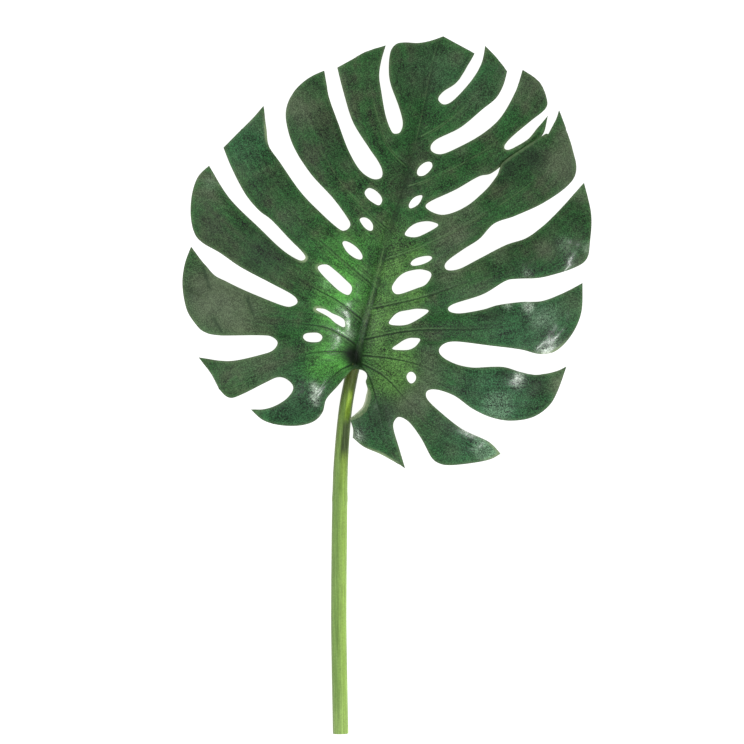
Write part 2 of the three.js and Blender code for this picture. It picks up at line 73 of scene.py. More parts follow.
# each lobe: its vein, the slope across it, the lift of its end and the place of its waves
LOBES = [
    ([(49, 192), (26, 218), (11, 268), (7, 298)], 0.06, 0, 0.2),
    ([(29, 130), (6, 150), (-17, 174), (-42, 214), (-62, 255)], -0.05, 0, 1.4),
    ([(15, 73), (-29, 110), (-60, 139), (-96, 188), (-114, 222)], 0.08, 4, 2.7),
    ([(4, 39), (-22, 59), (-57, 78), (-110, 112), (-157, 155)], -0.04, 0, 0.9),
    ([(-3, 15), (-29, 31), (-63, 37), (-120, 45), (-148, 58)], 0.1, 0, 3.6),
    ([(-4, 5), (-19, 8.5), (-53, 6), (-102, -11), (-128, -22)], 0.08, 2, 5.2),
    ([(-5, -3), (-22, -12), (-46, -36), (-78, -57)], 0.05, 0, 4.4),
    ([(0, -5), (10, -18), (18, -44), (26, -78), (35, -95)], 0.1, 3, 1.1),
    ([(-2, -2), (24, -16), (47, -40), (78, -71), (120, -91)], 0.05, 4, 2.2),
    ([(-1, 5), (34, 1), (66, -7), (110, -27), (185, -30)], -0.06, 3, 0.4),
    ([(2, 20), (52, 29), (120, 31), (180, 40), (206, 53)], 0.07, 3, 3.1),
    ([(13, 51), (60, 61.5), (102, 75.7), (170, 102), (217, 138)], -0.05, 2, 4.9),
    ([(23, 98), (70, 115), (142, 156), (188, 192), (202, 220)], 0.12, 6, 1.8),
    ([(43, 170), (74, 181), (137, 219), (173, 276)], -0.06, 0, 5.6),
    ([(55, 218), (83, 234), (116, 266), (135, 302)], 0.06, 0, 2.9),
]
print("veins:", len(LOBES), "and the midrib")

# %% The margin, anticlockwise from the tip
MARGIN = [
    [(83.5, 324.5), (72, 320.5), (58, 318), (44, 318.5), (36, 316.5), (30.5, 308), (29, 290), (31, 275),
     (39, 253), (43, 237), (41, 228), (37, 225.5), (32, 227.5), (26, 243), (21.5, 268), (19.5, 284),
     (21.5, 299), (26, 315.5)],
    [(26, 315.5), (6, 308.5), (-8, 300.5), (-23, 292.5)],
    [(-23, 292.5), (-16.5, 267), (-7, 237), (9, 211), (18, 198), (22.5, 188), (21, 181), (12, 180.5),
     (0, 189.5), (-11, 209), (-21, 236), (-31, 264), (-36, 290)],
    [(-36, 290), (-52, 282.5), (-66, 269), (-73.5, 253), (-73.5, 236), (-66, 212), (-49, 185), (-27, 161),
     (-13, 142), (-9.5, 134), (-14, 129), (-21, 131), (-40, 148), (-59, 168), (-79, 197), (-90.5, 214),
     (-93, 232), (-96.5, 255)],
    [(-96.5, 255), (-110, 240), (-137, 213)],
    [(-137, 213), (-129, 193), (-115, 166), (-101, 149), (-88, 139), (-70, 120), (-58, 108), (-54, 101.5),
     (-60, 99.5), (-77, 110), (-99, 131), (-130, 162), (-151, 195)],
    [(-151, 195), (-162, 184), (-168, 167), (-169.5, 146), (-166, 128), (-158, 117.5), (-140, 107),
     (-119, 92.5), (-90, 77), (-68, 65), (-62, 58.5), (-66, 54.5), (-76, 54.5), (-105, 66), (-132, 78.5),
     (-149, 88.5), (-169, 114)],
    [(-169, 114), (-175.5, 96), (-177.7, 75), (-173.5, 51), (-165, 36.5), (-156, 28), (-140, 24.5),
     (-98, 24.5), (-87, 22.5), (-82, 17), (-87, 10), (-98, 6), (-122, 0.5), (-138, -0.2), (-161.5, 3)],
    [(-161.5, 3), (-149, -14), (-140, -30), (-130, -37.8), (-117, -34), (-95, -23), (-81, -17), (-71, -20.5),
     (-66.5, -28), (-73, -38), (-85, -45.5), (-97, -49), (-109, -49.5)],
    [(-109, -49.5), (-97, -60), (-80, -65), (-60, -65.5), (-45, -61), (-37, -52), (-33, -39), (-22, -26),
     (-10, -12), (-5, -8.5), (1.5, -9.5), (5.8, -12.3), (7, -16.5), (5.7, -21), (7.8, -28), (6.3, -36),
     (3, -46.5), (-4.5, -54), (-9.2, -59), (-7, -69), (-7.5, -77.5)],
    [(-7.5, -77.5), (4, -87), (22, -95), (45.5, -108.5)],
    [(45.5, -108.5), (39, -87), (33.5, -67), (36, -58.5), (41, -57), (50, -63), (61, -78), (71.5, -97),
     (80, -103.5), (92, -105), (115, -102.5), (131, -99), (141, -93.5)],
    [(141, -93.5), (129, -81.5), (104, -70), (81, -52), (67.5, -38.5), (67.5, -30.5), (78, -29.8), (95, -36),
     (113, -49), (132, -57.5), (152, -60.5), (173, -57), (189, -46), (198, -31), (207, -6)],
    [(207, -6), (196, -11), (177, -14.5), (160, -11.5), (142, -6.3), (112, -7), (92, -2), (79.5, 7),
     (82, 14.5), (95, 18.2), (130, 14.2), (160, 10.5), (182, 6), (198, 10.5), (213, 27), (222, 49),
     (223, 77.5)],
    [(223, 77.5), (203, 67), (182, 59.2), (160, 58.3), (138, 55.3), (122, 50.5), (100, 46.8), (88.7, 49),
     (92, 55), (122, 65), (145, 78.5), (157, 80.8), (182, 82.5), (212, 91.5), (227, 101.5), (230.5, 119),
     (231.8, 146), (224.5, 178)],
    [(224.5, 178), (202, 153), (185, 136), (166, 122), (145, 115), (120, 102), (99, 91), (86.5, 90),
     (86, 97), (103, 109.5), (119, 120), (134, 135.5), (155, 143.5), (184, 157), (208, 174), (217, 190),
     (213, 212), (199.5, 251)],
    [(199.5, 251), (194, 237), (184, 221.5), (167, 209), (146, 194), (136, 183), (123, 167.5), (105, 152.5),
     (84, 144.5), (68.5, 149), (67.5, 156), (95, 169), (118, 182.3), (131, 186), (148, 198.5),
     (168, 212.5), (182, 225.5), (188.5, 245)],
    [(188.5, 245), (178, 232.5), (167, 219.5), (150, 210), (144, 212), (150, 221), (170, 238), (186, 251.5),
     (187.5, 262), (180, 279), (163, 291)],
    [(163, 291), (155, 268), (140, 242), (121, 225), (97, 211.5), (80, 205), (70.5, 209.5), (75, 219),
     (100, 231.5), (122, 249.5), (136, 261), (144, 275), (148, 289.5)],
    [(148, 289.5), (139, 301), (125.5, 315)],
    [(125.5, 315), (121.5, 297), (111, 279), (94, 260), (84, 255), (78, 260.5), (83, 268), (97, 278),
     (109, 297), (115, 307.5)],
    [(115, 307.5), (100, 315.5), (83.5, 324.5)],
]
print("stretches of margin:", len(MARGIN))

# %% The holes, up the left side of the midrib and then up the right
HOLES = [
    [(-56.5, 22.5), (-54, 26), (-48, 27), (-41, 26.7), (-37, 23), (-39.5, 18.7), (-46, 17.8), (-53, 18.8)],
    [(-43.7, 50.7), (-35, 50.7), (-27, 46.3), (-19.5, 43), (-14.7, 39), (-15, 32.5), (-23.5, 36.5),
     (-31, 43)],
    [(-41.7, 91), (-33, 94.5), (-24, 88.5), (-15, 80.5), (-7.5, 72.5), (-10, 65), (-17, 66.7), (-27, 74.7)],
    [(-17, 116), (-14, 118.2), (-7.5, 115.5), (-1, 110), (3, 103.5), (1.5, 99.8), (-5, 101.5),
     (-12.5, 107.5)],
    [(0, 139.5), (4.5, 141.5), (9.5, 139.5), (13.3, 134.5), (13, 129), (9, 128.7), (4, 132.5)],
    [(5, 166.5), (9, 171), (15, 169), (20.5, 164), (22.7, 158.5), (19.5, 153.7), (13, 156.5), (7.5, 161)],
    [(56.5, 188), (59.5, 193.2), (65, 197), (70.3, 197.2), (72, 193), (69, 188), (63.5, 183.7), (58, 183.7)],
    [(48.3, 154), (51, 159.4), (56, 163), (62, 163.5), (59, 156), (53.5, 151.8), (49.5, 151)],
    [(44.5, 124.5), (48, 130.8), (55, 135.7), (64, 137.9), (72, 137.3), (77.7, 133.5), (64, 125.2),
     (54, 122)],
    [(50.3, 96), (54, 100), (61, 102.5), (69, 103.2), (72, 101), (68, 97.3), (60.5, 94.4), (53, 93.5)],
    [(31.5, 71.5), (36, 80), (43, 86), (52, 89), (62, 89.8), (71, 86), (66, 75.7), (56, 71.2), (37.5, 65.5)],
    [(29, 36), (32, 42.5), (38.5, 47.5), (48, 49.5), (58, 50.8), (68.5, 48.5), (53, 38), (42, 34.5)],
    [(32, 11.3), (38, 16), (45, 20.3), (52, 21.9), (60, 20.5), (56, 14), (49.5, 10.5), (40, 10)],
    [(46.5, -16), (49, -12.2), (53, -12.3), (56, -16.5), (55, -20.7), (51.5, -23), (48, -20.5)],
]
print("holes:", len(HOLES))

# %% [markdown]
# ## Smooth curves
# Blender's own curve objects could do this, but their points can't be measured before they are evaluated. A
# Catmull-Rom curve is three lines of algebra, runs through every drawn point, and stays plain numbers.

# %% Curves through drawn points
FINE = 24


def curve(points, count, closed=False):
    """Points along a smooth curve through the drawn ones, evenly spread over its spans."""
    drawn = np.asarray(points, float)
    spans = len(drawn) if closed else len(drawn) - 1
    place = np.linspace(0, spans, count)
    span = np.minimum(place.astype(int), spans - 1)
    share = (place - span)[:, None]

    def knot(offset):
        number = span + offset
        return drawn[number % len(drawn)] if closed else drawn[np.clip(number, 0, spans)]

    before, start, end, after = (knot(offset) for offset in (-1, 0, 1, 2))
    leave, arrive = (end - before) / 2, (after - start) / 2
    cubic = 2 * start - 2 * end + leave + arrive
    square = 3 * end - 3 * start - 2 * leave - arrive
    return ((cubic * share + square) * share + leave) * share + start


def spaced(points, step, closed=False):
    """The same curve at even distances, without its last point."""
    fine = curve(points, FINE * len(points) + 1, closed)
    run = np.concatenate([[0], np.cumsum(np.linalg.norm(np.diff(fine, axis=0), axis=1))])
    stations = np.linspace(0, run[-1], max(2, round(run[-1] / step)), endpoint=False)
    return np.column_stack([np.interp(stations, run, fine[:, k]) for k in range(fine.shape[1])])


PIECES = 32
midrib_line = curve(MIDRIB, PIECES + 1)
vein_lines = [curve(vein, PIECES + 1) for vein, *_ in LOBES]
margin_run = sum(len(spaced(stretch, 1)) for stretch in MARGIN)
print("margin, with every slit:", margin_run, "mm")

# %% [markdown]
# ## Laying the leaf down
# A real blade folds up from its midrib like a shallow valley, crests, and droops towards the ends of its
# lobes. A cloth simulation would find some such shape, but not this one, so the height is a formula: an arch
# along the midrib, a fold beside it, a droop with the square of the distance, and for each lobe a camber
# across its vein, a twist and a slow wave. Where the formula would sink into the table it flattens out.

# %% Nearest place on a curve
def nearest(line, flat):
    """Distance to a line of short pieces, the share of the way along it, and the side, for every point."""
    start, run = line[:-1], np.diff(line, axis=0)
    off = flat[:, None, :] - start[None]
    share = np.clip((off * run).sum(2) / (run * run).sum(1), 0, 1)
    off = off - share[..., None] * run
    away = np.hypot(off[..., 0], off[..., 1])
    rows, piece = np.arange(len(flat)), away.argmin(1)
    turn = run[piece, 0] * off[rows, piece, 1] - run[piece, 1] * off[rows, piece, 0]
    return away[rows, piece], (piece + share[rows, piece]) / len(run), np.sign(turn)


def smooth(value, low, high):
    """0 below low, 1 above high, and a smooth step between."""
    share = np.clip((value - low) / (high - low), 0, 1)
    return share * share * (3 - 2 * share)


origin_to_midrib = nearest(midrib_line, np.array([[0.0, 0.0]]))[0][0]
print("the drawing's origin lies", round(origin_to_midrib, 2), "mm from the midrib")

# %% What each lobe adds to the height, in millimetres
LOBE_CAMBER, LOBE_HALF_WIDTH, LOBE_REACH = 3.5, 20, 32
LOBE_RAMP, LOBE_BLEND = 90, 9
WAVE_HEIGHT, WAVE_LENGTH = 1.8, 80


def lobe_height(flat, from_midrib):
    """Camber, twist, wave and lift, blended from the veins that lie nearest."""
    found = [nearest(line, flat) for line in vein_lines]
    closest = np.min([away for away, _, _ in found], axis=0)
    total = np.zeros(len(flat))
    weights = np.zeros(len(flat))
    for (_, twist, lift, phase), (away, along, side) in zip(LOBES, found):
        weight = np.exp(-(((away - closest) / LOBE_BLEND) ** 2))
        reach = np.minimum(away, LOBE_REACH)
        camber = -LOBE_CAMBER * (reach / LOBE_HALF_WIDTH) ** 2
        wave = WAVE_HEIGHT * np.sin(2 * math.pi * from_midrib / WAVE_LENGTH + phase)
        total += weight * (camber + twist * side * reach + wave + lift * along**2)
        weights += weight
    return smooth(from_midrib, 0, LOBE_RAMP) * total / weights


print("each lobe waves by", WAVE_HEIGHT, "mm, once in", WAVE_LENGTH, "mm")

# %% One lobe rides over its neighbour
OVERLAP_START, OVERLAP_END = np.array([130, 182]), np.array([180, 219])
OVERLAP_FADES, OVERLAP_EDGE = (4, 20, 58, 82), -1.2
OVERLAP_PUSH, OVERLAP_LIFT, OVERLAP_REACH, UNDERLAP_DROP = 4.5, 2.6, 16, 1.2


def overlap(flat):
    """Where one lobe rides over its neighbour: its margin pushed across and raised, the other lowered."""
    ahead = (OVERLAP_END - OVERLAP_START) / np.linalg.norm(OVERLAP_END - OVERLAP_START)
    off = flat - OVERLAP_START
    far = off @ ahead
    below = off[:, 0] * ahead[1] - off[:, 1] * ahead[0]
    fade_in, in_full, fade_out, gone = OVERLAP_FADES
    near = smooth(far, fade_in, in_full) * (1 - smooth(far, fade_out, gone))
    near = near * np.exp(-((below / OVERLAP_REACH) ** 2))
    over = below >= OVERLAP_EDGE
    push = np.where(over, OVERLAP_PUSH, 0) * near
    lift = np.where(over, OVERLAP_LIFT, -UNDERLAP_DROP) * near
    return np.column_stack([-ahead[1] * push, ahead[0] * push, lift])


print("the upper margin of the overlap is raised by", OVERLAP_LIFT, "mm")

# %% How the blade meets the table
SETTLE_BLEND = 4
REST_SPOTS, REST_REACH, REST_GAP = [(-167, 100), (230, 122)], (14, 30), 0.4


def settle(height):
    """Height above the table, flattened smoothly to nothing where it would be negative."""
    eased = (np.clip(height, -SETTLE_BLEND, SETTLE_BLEND) + SETTLE_BLEND) ** 2 / (4 * SETTLE_BLEND)
    return np.where(height > SETTLE_BLEND, height, eased)


def table_gap(flat):
    """How far the underside stays off the table, away from the two spots that the blade rests on."""
    away = np.min([np.hypot(*(flat - spot).T) for spot in REST_SPOTS], axis=0)
    return REST_GAP * smooth(away, *REST_REACH)


print("the blade rests on", len(REST_SPOTS), "spots; elsewhere it is at least", REST_GAP, "mm up")

# %% The height of the laid blade, in millimetres
BLADE_THICKNESS = 1.0
BASE_HEIGHT, MIDRIB_ARCH, TIP_DROP = 16, 22, 20
FOLD_HEIGHT, FOLD_LOSS_TO_TIP, FOLD_REACH = 24, 0.55, (19, 40)
DROOP, DROOP_REACH = 44, 180
BASAL_DROOP, BASAL_START = 0.0025, 10
ROLLS = [([(7.8, -28), (3, -46.5), (-9, -59)], 6, 7),
         ([(-8, -12), (-24, -28), (-36, -47), (-40, -58)], -6, 9)]


def laid(flat):
    """Points of the flat leaf on the upper face of the laid blade."""
    away, along, _ = nearest(midrib_line, flat)
    height = BASE_HEIGHT + MIDRIB_ARCH * np.sin(math.pi * along) - TIP_DROP * along**2
    reach = FOLD_REACH[0] + (FOLD_REACH[1] - FOLD_REACH[0]) * along
    height += FOLD_HEIGHT * (1 - FOLD_LOSS_TO_TIP * along) * (1 - np.exp(-away / reach))
    height -= DROOP * (away / DROOP_REACH) ** 2
    height -= BASAL_DROOP * np.maximum(0, -flat[:, 1] - BASAL_START) ** 2
    height += lobe_height(flat, away)
    for line, lift, width in ROLLS:
        height += lift * np.exp(-((nearest(curve(line, PIECES + 1), flat)[0] / width) ** 2))
    shift = overlap(flat)
    lowest = BLADE_THICKNESS + table_gap(flat)
    return np.column_stack([flat + shift[:, :2], lowest + settle(height + shift[:, 2] - lowest)])


print("height along the midrib:", laid(midrib_line)[::8, 2].round(1).tolist(), "mm")

# %% [markdown]
# ## The blade's mesh
# The outline has deep slits and holes, which a grid of quads can't follow. A constrained triangulation can:
# it takes the margins as fixed edges, rows of points along every vein so that the grooves stay crisp, and a
# staggered grid for the rest, and it makes one even skin. The lower face is the same skin moved down by the
# blade's thickness, with the ribs standing out of it, and a narrow wall closes the rim.

# %% Points along the rim
RIM_STEP = 1.7
loops = [np.concatenate([spaced(stretch, RIM_STEP) for stretch in MARGIN])]
loops += [spaced(hole, RIM_STEP, closed=True) for hole in HOLES]
rim = np.concatenate(loops)
print("points on the rim:", len(rim))

# %% Which points lie on the leaf
def is_on_leaf(loops, flat):
    """Whether points lie on the leaf, by counting the margins crossed on the way to the right."""
    inside = np.zeros(len(flat), bool)
    x, y = flat.T
    for loop in loops:
        for (ax, ay), (bx, by) in zip(loop, np.roll(loop, -1, axis=0)):
            band = np.flatnonzero((ay > y) != (by > y))
            crossed = x[band] < ax + (y[band] - ay) / (by - ay) * (bx - ax)
            inside[band[crossed]] ^= True
    return inside


print("of the midrib's points,", is_on_leaf(loops, midrib_line).sum(), "lie on the leaf")

# %% Rows of points beside the veins
VEIN_STEP = 1.9
VEIN_ROWS = (0, 0.7, -0.7, 1.7, -1.7)
MIDRIB_ROWS = (0, 1.1, -1.1, 2.4, -2.4, 3.9, -3.9)


def unit(vectors):
    """The same directions, each of length one."""
    return vectors / np.linalg.norm(vectors, axis=1)[:, None]


def rows_along(points, offsets):
    """Rows of points beside a vein, at the given distances from it."""
    centre = spaced(points, VEIN_STEP)
    ahead = unit(np.gradient(centre, axis=0))
    left = np.column_stack([-ahead[:, 1], ahead[:, 0]])
    return np.concatenate([centre + left * offset for offset in offsets])


rows = [rows_along(MIDRIB, MIDRIB_ROWS)] + [rows_along(vein, VEIN_ROWS) for vein, *_ in LOBES]
rows = np.concatenate(rows)
rows = rows[is_on_leaf(loops, rows)]
print("points beside the veins:", len(rows))

# %% Drop the points that crowd others
ROW_CLEARANCE = 0.6


def search_tree(flat):
    """A tree that finds the nearest of many points quickly."""
    tree = KDTree(len(flat))
    for number, (x, y) in enumerate(flat):
        tree.insert((x, y, 0), number)
    tree.balance()
    return tree


def thinned(points, fixed, clearance):
    """The points that keep their distance from the fixed ones and from each other."""
    tree = search_tree(np.concatenate([fixed, points]))
    dropped = np.zeros(len(fixed) + len(points), bool)
    for number, (x, y) in enumerate(points, start=len(fixed)):
        close = tree.find_range((x, y, 0), clearance)
        dropped[number] = any(other < number and not dropped[other] for _, other, _ in close)
    return points[~dropped[len(fixed):]]


rows = thinned(rows, rim, ROW_CLEARANCE)
print("points beside the veins that stay:", len(rows))

# %% A staggered grid for the rest
GRID_STEP, GRID_SWAY, GRID_CLEARANCE = 2.2, 0.2, 1.35


def staggered_grid(low, high, step):
    """Points over a box in rows that are offset by half a step, with a slight sway."""
    rise = step * math.sin(math.radians(60))
    row, column = np.mgrid[0:int((high[1] - low[1]) / rise), 0:int((high[0] - low[0]) / step)]
    x = low[0] + step * (column + 0.5 * (row % 2))
    y = low[1] + rise * row
    return np.column_stack([(x + GRID_SWAY * np.sin(y)).ravel(), (y + GRID_SWAY * np.sin(x)).ravel()])


grid = staggered_grid(rim.min(0), rim.max(0), GRID_STEP)
grid = thinned(grid[is_on_leaf(loops, grid)], np.concatenate([rim, rows]), GRID_CLEARANCE)
flat_leaf = np.concatenate([rim, rows, grid])
print("points of the grid:", len(grid))

# %% Triangles of the flat leaf
rim_edges = []
for loop in loops:
    first = len(rim_edges)
    rim_edges += [(first + k, first + (k + 1) % len(loop)) for k in range(len(loop))]
made = delaunay_2d_cdt([Vector(point) for point in flat_leaf], rim_edges, [], 0, 1e-5)
flat_leaf = np.array([tuple(point) for point in made[0]])
triangles = np.array(made[2])
triangles = triangles[is_on_leaf(loops, flat_leaf[triangles].mean(1))]
corner = flat_leaf[triangles]
first_side, second_side = corner[:, 1] - corner[:, 0], corner[:, 2] - corner[:, 0]
turned = first_side[:, 0] * second_side[:, 1] < first_side[:, 1] * second_side[:, 0]
triangles[turned] = triangles[turned][:, ::-1]
print("triangles on one face:", len(triangles))

# %% Distances that the relief and the skin depend on
LOBE_SEAM, HIGH_ROOTS = 8, (0.15, 0.4)
midrib_away, midrib_along, midrib_side = nearest(midrib_line, flat_leaf)
found = [nearest(line, flat_leaf) for line in vein_lines]
closest = np.argmin([away for away, _, _ in found], axis=0)
points = np.arange(len(flat_leaf))
vein_away, vein_along, vein_side = (np.array([kind[k] for kind in found])[closest, points] for k in range(3))
vein_length = np.array([np.linalg.norm(np.diff(line, axis=0), axis=1).sum() for line in vein_lines])
vein_run = vein_along * vein_length[closest]
two_nearest = np.sort([away for away, _, _ in found], axis=0)[:2]
one_lobe = smooth(two_nearest[1] - two_nearest[0], 0, LOBE_SEAM)
roots = nearest(midrib_line, np.array([vein[0] for vein, *_ in LOBES], float))[1]
high_lobe = smooth(roots, *HIGH_ROOTS)[closest]
rim_tree = search_tree(rim)
rim_away = np.array([rim_tree.find((x, y, 0))[2] for x, y in flat_leaf])
print("furthest from any margin:", round(rim_away.max(), 1), "mm")

# %% Relief of the two faces
MIDRIB_DEPTH, MIDRIB_END_DEPTH = 10, 1.2
MIDRIB_HALF_WIDTH, MIDRIB_TAPER, MIDRIB_START = 5.5, 0.7, (0.03, 0.08)
VEIN_DEPTH, VEIN_HALF_WIDTH = 2.6, 3
VEIN_GROOVE, VEIN_GROOVE_WIDTH, GROOVE_START = 0.6, 0.9, (1, 5)
GROOVE_FADE, RIDGE_FADE = 0.8, 0.5
MIDRIB_RIDGE, MIDRIB_RIDGE_WIDTH, MIDRIB_GUTTER, MIDRIB_GUTTER_PLACE = 0.7, 1.2, 0.7, 2.8
RIM_THICKNESS, RIM_WIDTH, RELIEF_FADE = 0.6, 4, 3
CURL, CURL_WIDTH = 0.8, 3

arch = np.maximum(0, 1 - (midrib_away / (MIDRIB_HALF_WIDTH * (1 - MIDRIB_TAPER * midrib_along))) ** 2)
depth = MIDRIB_END_DEPTH + (MIDRIB_DEPTH - MIDRIB_END_DEPTH) * (1 - midrib_along) ** 2
ribs = depth * arch * smooth(midrib_along, *MIDRIB_START)
veins = VEIN_DEPTH * (1 - vein_along) * np.maximum(0, 1 - (vein_away / VEIN_HALF_WIDTH) ** 2)
ribs = np.maximum(ribs, veins)

groove = -VEIN_GROOVE * (1 - GROOVE_FADE * vein_along) * np.exp(-((vein_away / VEIN_GROOVE_WIDTH) ** 2))
ridge = MIDRIB_RIDGE * np.exp(-((midrib_away / MIDRIB_RIDGE_WIDTH) ** 2))
gutter = -MIDRIB_GUTTER * np.exp(-((midrib_away - MIDRIB_GUTTER_PLACE) ** 2))
upper_relief = groove * smooth(midrib_away, *GROOVE_START)
upper_relief += (ridge + gutter) * (1 - RIDGE_FADE * midrib_along)
upper_relief *= smooth(rim_away, 0, RELIEF_FADE)
curl = -CURL * np.exp(-((rim_away / CURL_WIDTH) ** 2))
thickness = BLADE_THICKNESS * (RIM_THICKNESS + (1 - RIM_THICKNESS) * smooth(rim_away, 0, RIM_WIDTH))
print("deepest rib:", round(ribs.max(), 2), "mm; thinnest rim:", round(thickness.min(), 2), "mm")

# %% [markdown]
# ## Puckers
# A waxy blade is never quite smooth. Small folds cross the lobes where they bend, and each of them catches a
# streak of light. A bump map could fake the streaks, but modelled folds also show from the side, and their
# streaks move with the view as they should.

# %% Puckers: start, end, half width and height of each, in millimetres
PUCKERS = [
    ((202, 136), (203, 92), 8, -1.3), ((231, 130), (227, 98), 11, 1.8), ((165, 98), (168, 84), 2.6, 0.8),
    ((140, 57), (143, 46), 2.6, 0.8), ((166, 58), (175, 38), 3.2, 1.0), ((181, 9), (199, 34), 6, 1.6),
    ((157, -7), (159, -9), 9, 2.2), ((-43, -16), (-48, -46), 6, -0.8), ((-35, -44), (-39, -54), 2.6, 0.8),
    ((-20, 36), (-36, 48), 3, 0.5), ((-158, 96), (-150, 72), 2.6, -0.8), ((-112, 62), (-106, 46), 2.4, -0.8),
    ((-146, 42), (-138, 28), 2.4, -0.8), ((6, -69), (-6, -77), 3.2, 1.1), ((-134, 70), (-128, 56), 2.4, 0.6),
    ((100, -60), (118, -78), 4, 0.7),
]


def pucker_height(flat):
    """The height that all puckers add."""
    total = np.zeros(len(flat))
    for start, end, half_width, rise in PUCKERS:
        away = nearest(np.array([start, end], float), flat)[0]
        total += rise * np.exp(-((away / half_width) ** 2))
    return total


print("puckers:", len(PUCKERS), "the highest", round(pucker_height(flat_leaf).max(), 2), "mm")

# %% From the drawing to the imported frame
STALK_END = -373
leaf_low = np.array([rim[:, 0].min(), STALK_END])
shift = np.array([cad_low.x / MM - leaf_low[0], cad_low.y / MM - leaf_low[1], 0])


def in_frame(points_mm):
    """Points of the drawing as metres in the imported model's frame."""
    return (points_mm + shift) * MM


print("the drawing's origin in the frame:", (shift * MM).round(4).tolist(), "m")

# %% Skin normals and the two faces
def skin_normals(points_3d, faces):
    """Area-weighted normals at the points of a triangle mesh."""
    a, b, c = (points_3d[faces[:, k]] for k in range(3))
    face_normals = np.cross(b - a, c - a)
    normals = np.zeros_like(points_3d)
    for k in range(3):
        np.add.at(normals, faces[:, k], face_normals)
    return unit(normals)


THINNEST = 0.3
skin = laid(flat_leaf)
skin[:, 2] += pucker_height(flat_leaf)
normals = skin_normals(skin, triangles)
upper = skin + normals * (upper_relief + curl)[:, None]
lower = skin + normals * (curl - thickness)[:, None]
lower[:, 2] = np.maximum(table_gap(flat_leaf), lower[:, 2] - ribs)
upper[:, 2] = np.maximum(lower[:, 2] + THINNEST, upper[:, 2])
print("blade stands", round(upper[:, 2].max(), 1), "mm high")

# %% [markdown]
# ## Where the skin changes
# On the real leaf the colour follows growth: bright round the foot of the midrib, bluish on the low lobes,
# waxy and dull where the lobes droop. Light and shade are painted in too: a grey sheen on the waxy lobes,
# pale highlights, a teal sheen, shade, and dark shade in the funnel at the foot. Each of these is a handful
# of soft round patches on the drawing. They are stored as numbers at the points of the mesh, so the shader
# can read them and they move with the leaf.

# %% Soft patches: place, radius and strength of each
# young and olive skin, bluish skin, waxy skin with a painted grey sheen, painted shade, painted highlights,
# painted teal sheen, gloss, pale margins, painted shade at the foot
YOUNG = [(-20, 60, 23, 0.95), (-24, 2, 20, 0.95), (-16, 90, 20, 0.45), (-26, 32, 17, 0.45),
         (2, 68, 14, 0.3), (-20, 112, 36, 0.25), (5, 119, 14, 0.3), (-44, -11, 13, 0.5)]
OLIVE = [(34, 50, 23, 0.5), (38, 92, 26, 0.55), (42, 0, 24, 0.55), (28, -22, 22, 0.8), (14, 12, 14, 0.4),
         (30, 130, 22, 0.35), (15, 30, 9, 0.45), (18, 46, 9, 0.5), (18, 61, 7, 0.4), (23, 89, 8, 0.45),
         (58, 64, 10, 0.5), (57, 106, 10, 0.4)]
COOL = [(140, -40, 50, 0.9), (210, 60, 45, 0.45), (105, -90, 40, 0.5), (-65, -48, 40, 0.8),
        (160, 35, 45, 0.5), (-115, 220, 35, 0.6), (15, -70, 30, 0.5), (120, 270, 34, 0.4),
        (75, 290, 24, 0.5)]
WAX_AND_SHEEN = [(-135, 60, 46, 0.95), (-158, 75, 20, 0.3), (-120, -12, 30, 0.35), (-90, -3, 18, 0.5),
       (-152, 166, 28, 0.5), (-61, 252, 26, 0.75), (20, 280, 34, 0.35), (-26, 284, 18, 0.35),
       (170, 270, 26, 0.6), (90, 125, 26, 0.6), (82, 84, 18, 0.5), (110, 150, 13, 0.45),
       (203, 192, 26, 0.9), (204, 227, 12, 0.7), (110, 70, 26, 0.35), (138, 104, 12, 0.6),
       (186, 110, 12, 1.0), (194, 132, 10, 0.4), (68, 6, 16, 0.5), (70, -18, 22, 0.5), (200, -24, 15, 0.9),
       (46, -42, 23, 0.85), (150, 165, 24, 0.3), (212, 60, 18, 0.55), (75, 296, 26, 0.4),
       (100, 303, 11, 0.4), (-70, 145, 17, 0.5), (120, 270, 20, 0.35), (101, 208, 11, 0.5),
       (-12, 194, 11, 0.5), (30, 221, 10, 0.4), (222, 162, 9, 0.5), (92, -90, 13, 0.4)]
SHADE = [(160, 98, 20, 0.3), (50, 280, 22, 0.4), (215, 140, 25, 0.45), (174, 200, 13, 0.9),
         (-30, 210, 24, 0.5), (150, 190, 16, 0.7), (-100, 110, 34, 0.6), (60, 200, 30, 0.3),
         (-68, -50, 24, 0.4), (22, -52, 18, 0.9), (-180, 82, 8, 0.6), (-174, 48, 8, 0.5),
         (-169, 68, 9, 0.4), (-149, 134, 12, 0.5), (98, 32, 20, 0.2), (132, 46, 12, 0.7),
         (145, -13, 7, 0.7), (178, -24, 10, 0.9), (-85, 170, 20, 0.3), (219, 114, 7, 0.6),
         (88, -70, 11, 0.5), (196, 118, 4, 0.6), (46, 169, 13, 0.4)]
PAINTED_HIGHLIGHTS = [(159, -17, 5, 1.0), (158, -24, 5, 0.35), (192, 14, 6, 0.6), (183, 9, 6, 0.75), (168, 54, 5, 0.85),
         (147, 55, 4, 0.5), (180, 40, 10, 0.15), (210, 94, 7, 0.15), (203, 116, 7, 0.18),
         (229, 112, 6, 0.2), (167, 86, 4, 0.4), (-46, -25, 3.5, 0.6), (-43, -30, 4, 1.0),
         (-45, -37, 3.5, 0.9), (-43, -43, 3, 0.6), (-38, -57, 3, 0.5), (-4, -76, 6, 1.0), (-11, 26, 5, 0.4),
         (-19, 47, 6, 0.28), (-150, 178, 9, 0.1), (188, 44, 13, 0.1), (-88, 228, 7, 0.25),
         (-30, 76, 8, 0.15)]
SHEEN = [(130, -87, 18, 1.0), (138, -46, 26, 0.58)]
GLOSS = [(-18, 40, 24, 1.0), (-44, -32, 13, 1.0), (160, -16, 9, 1.0), (190, 18, 22, 1.0),
         (165, 54, 11, 0.8), (209, 100, 18, 1.0), (168, 90, 10, 0.8), (0, -73, 18, 1.0),
         (115, -74, 24, 0.5)]
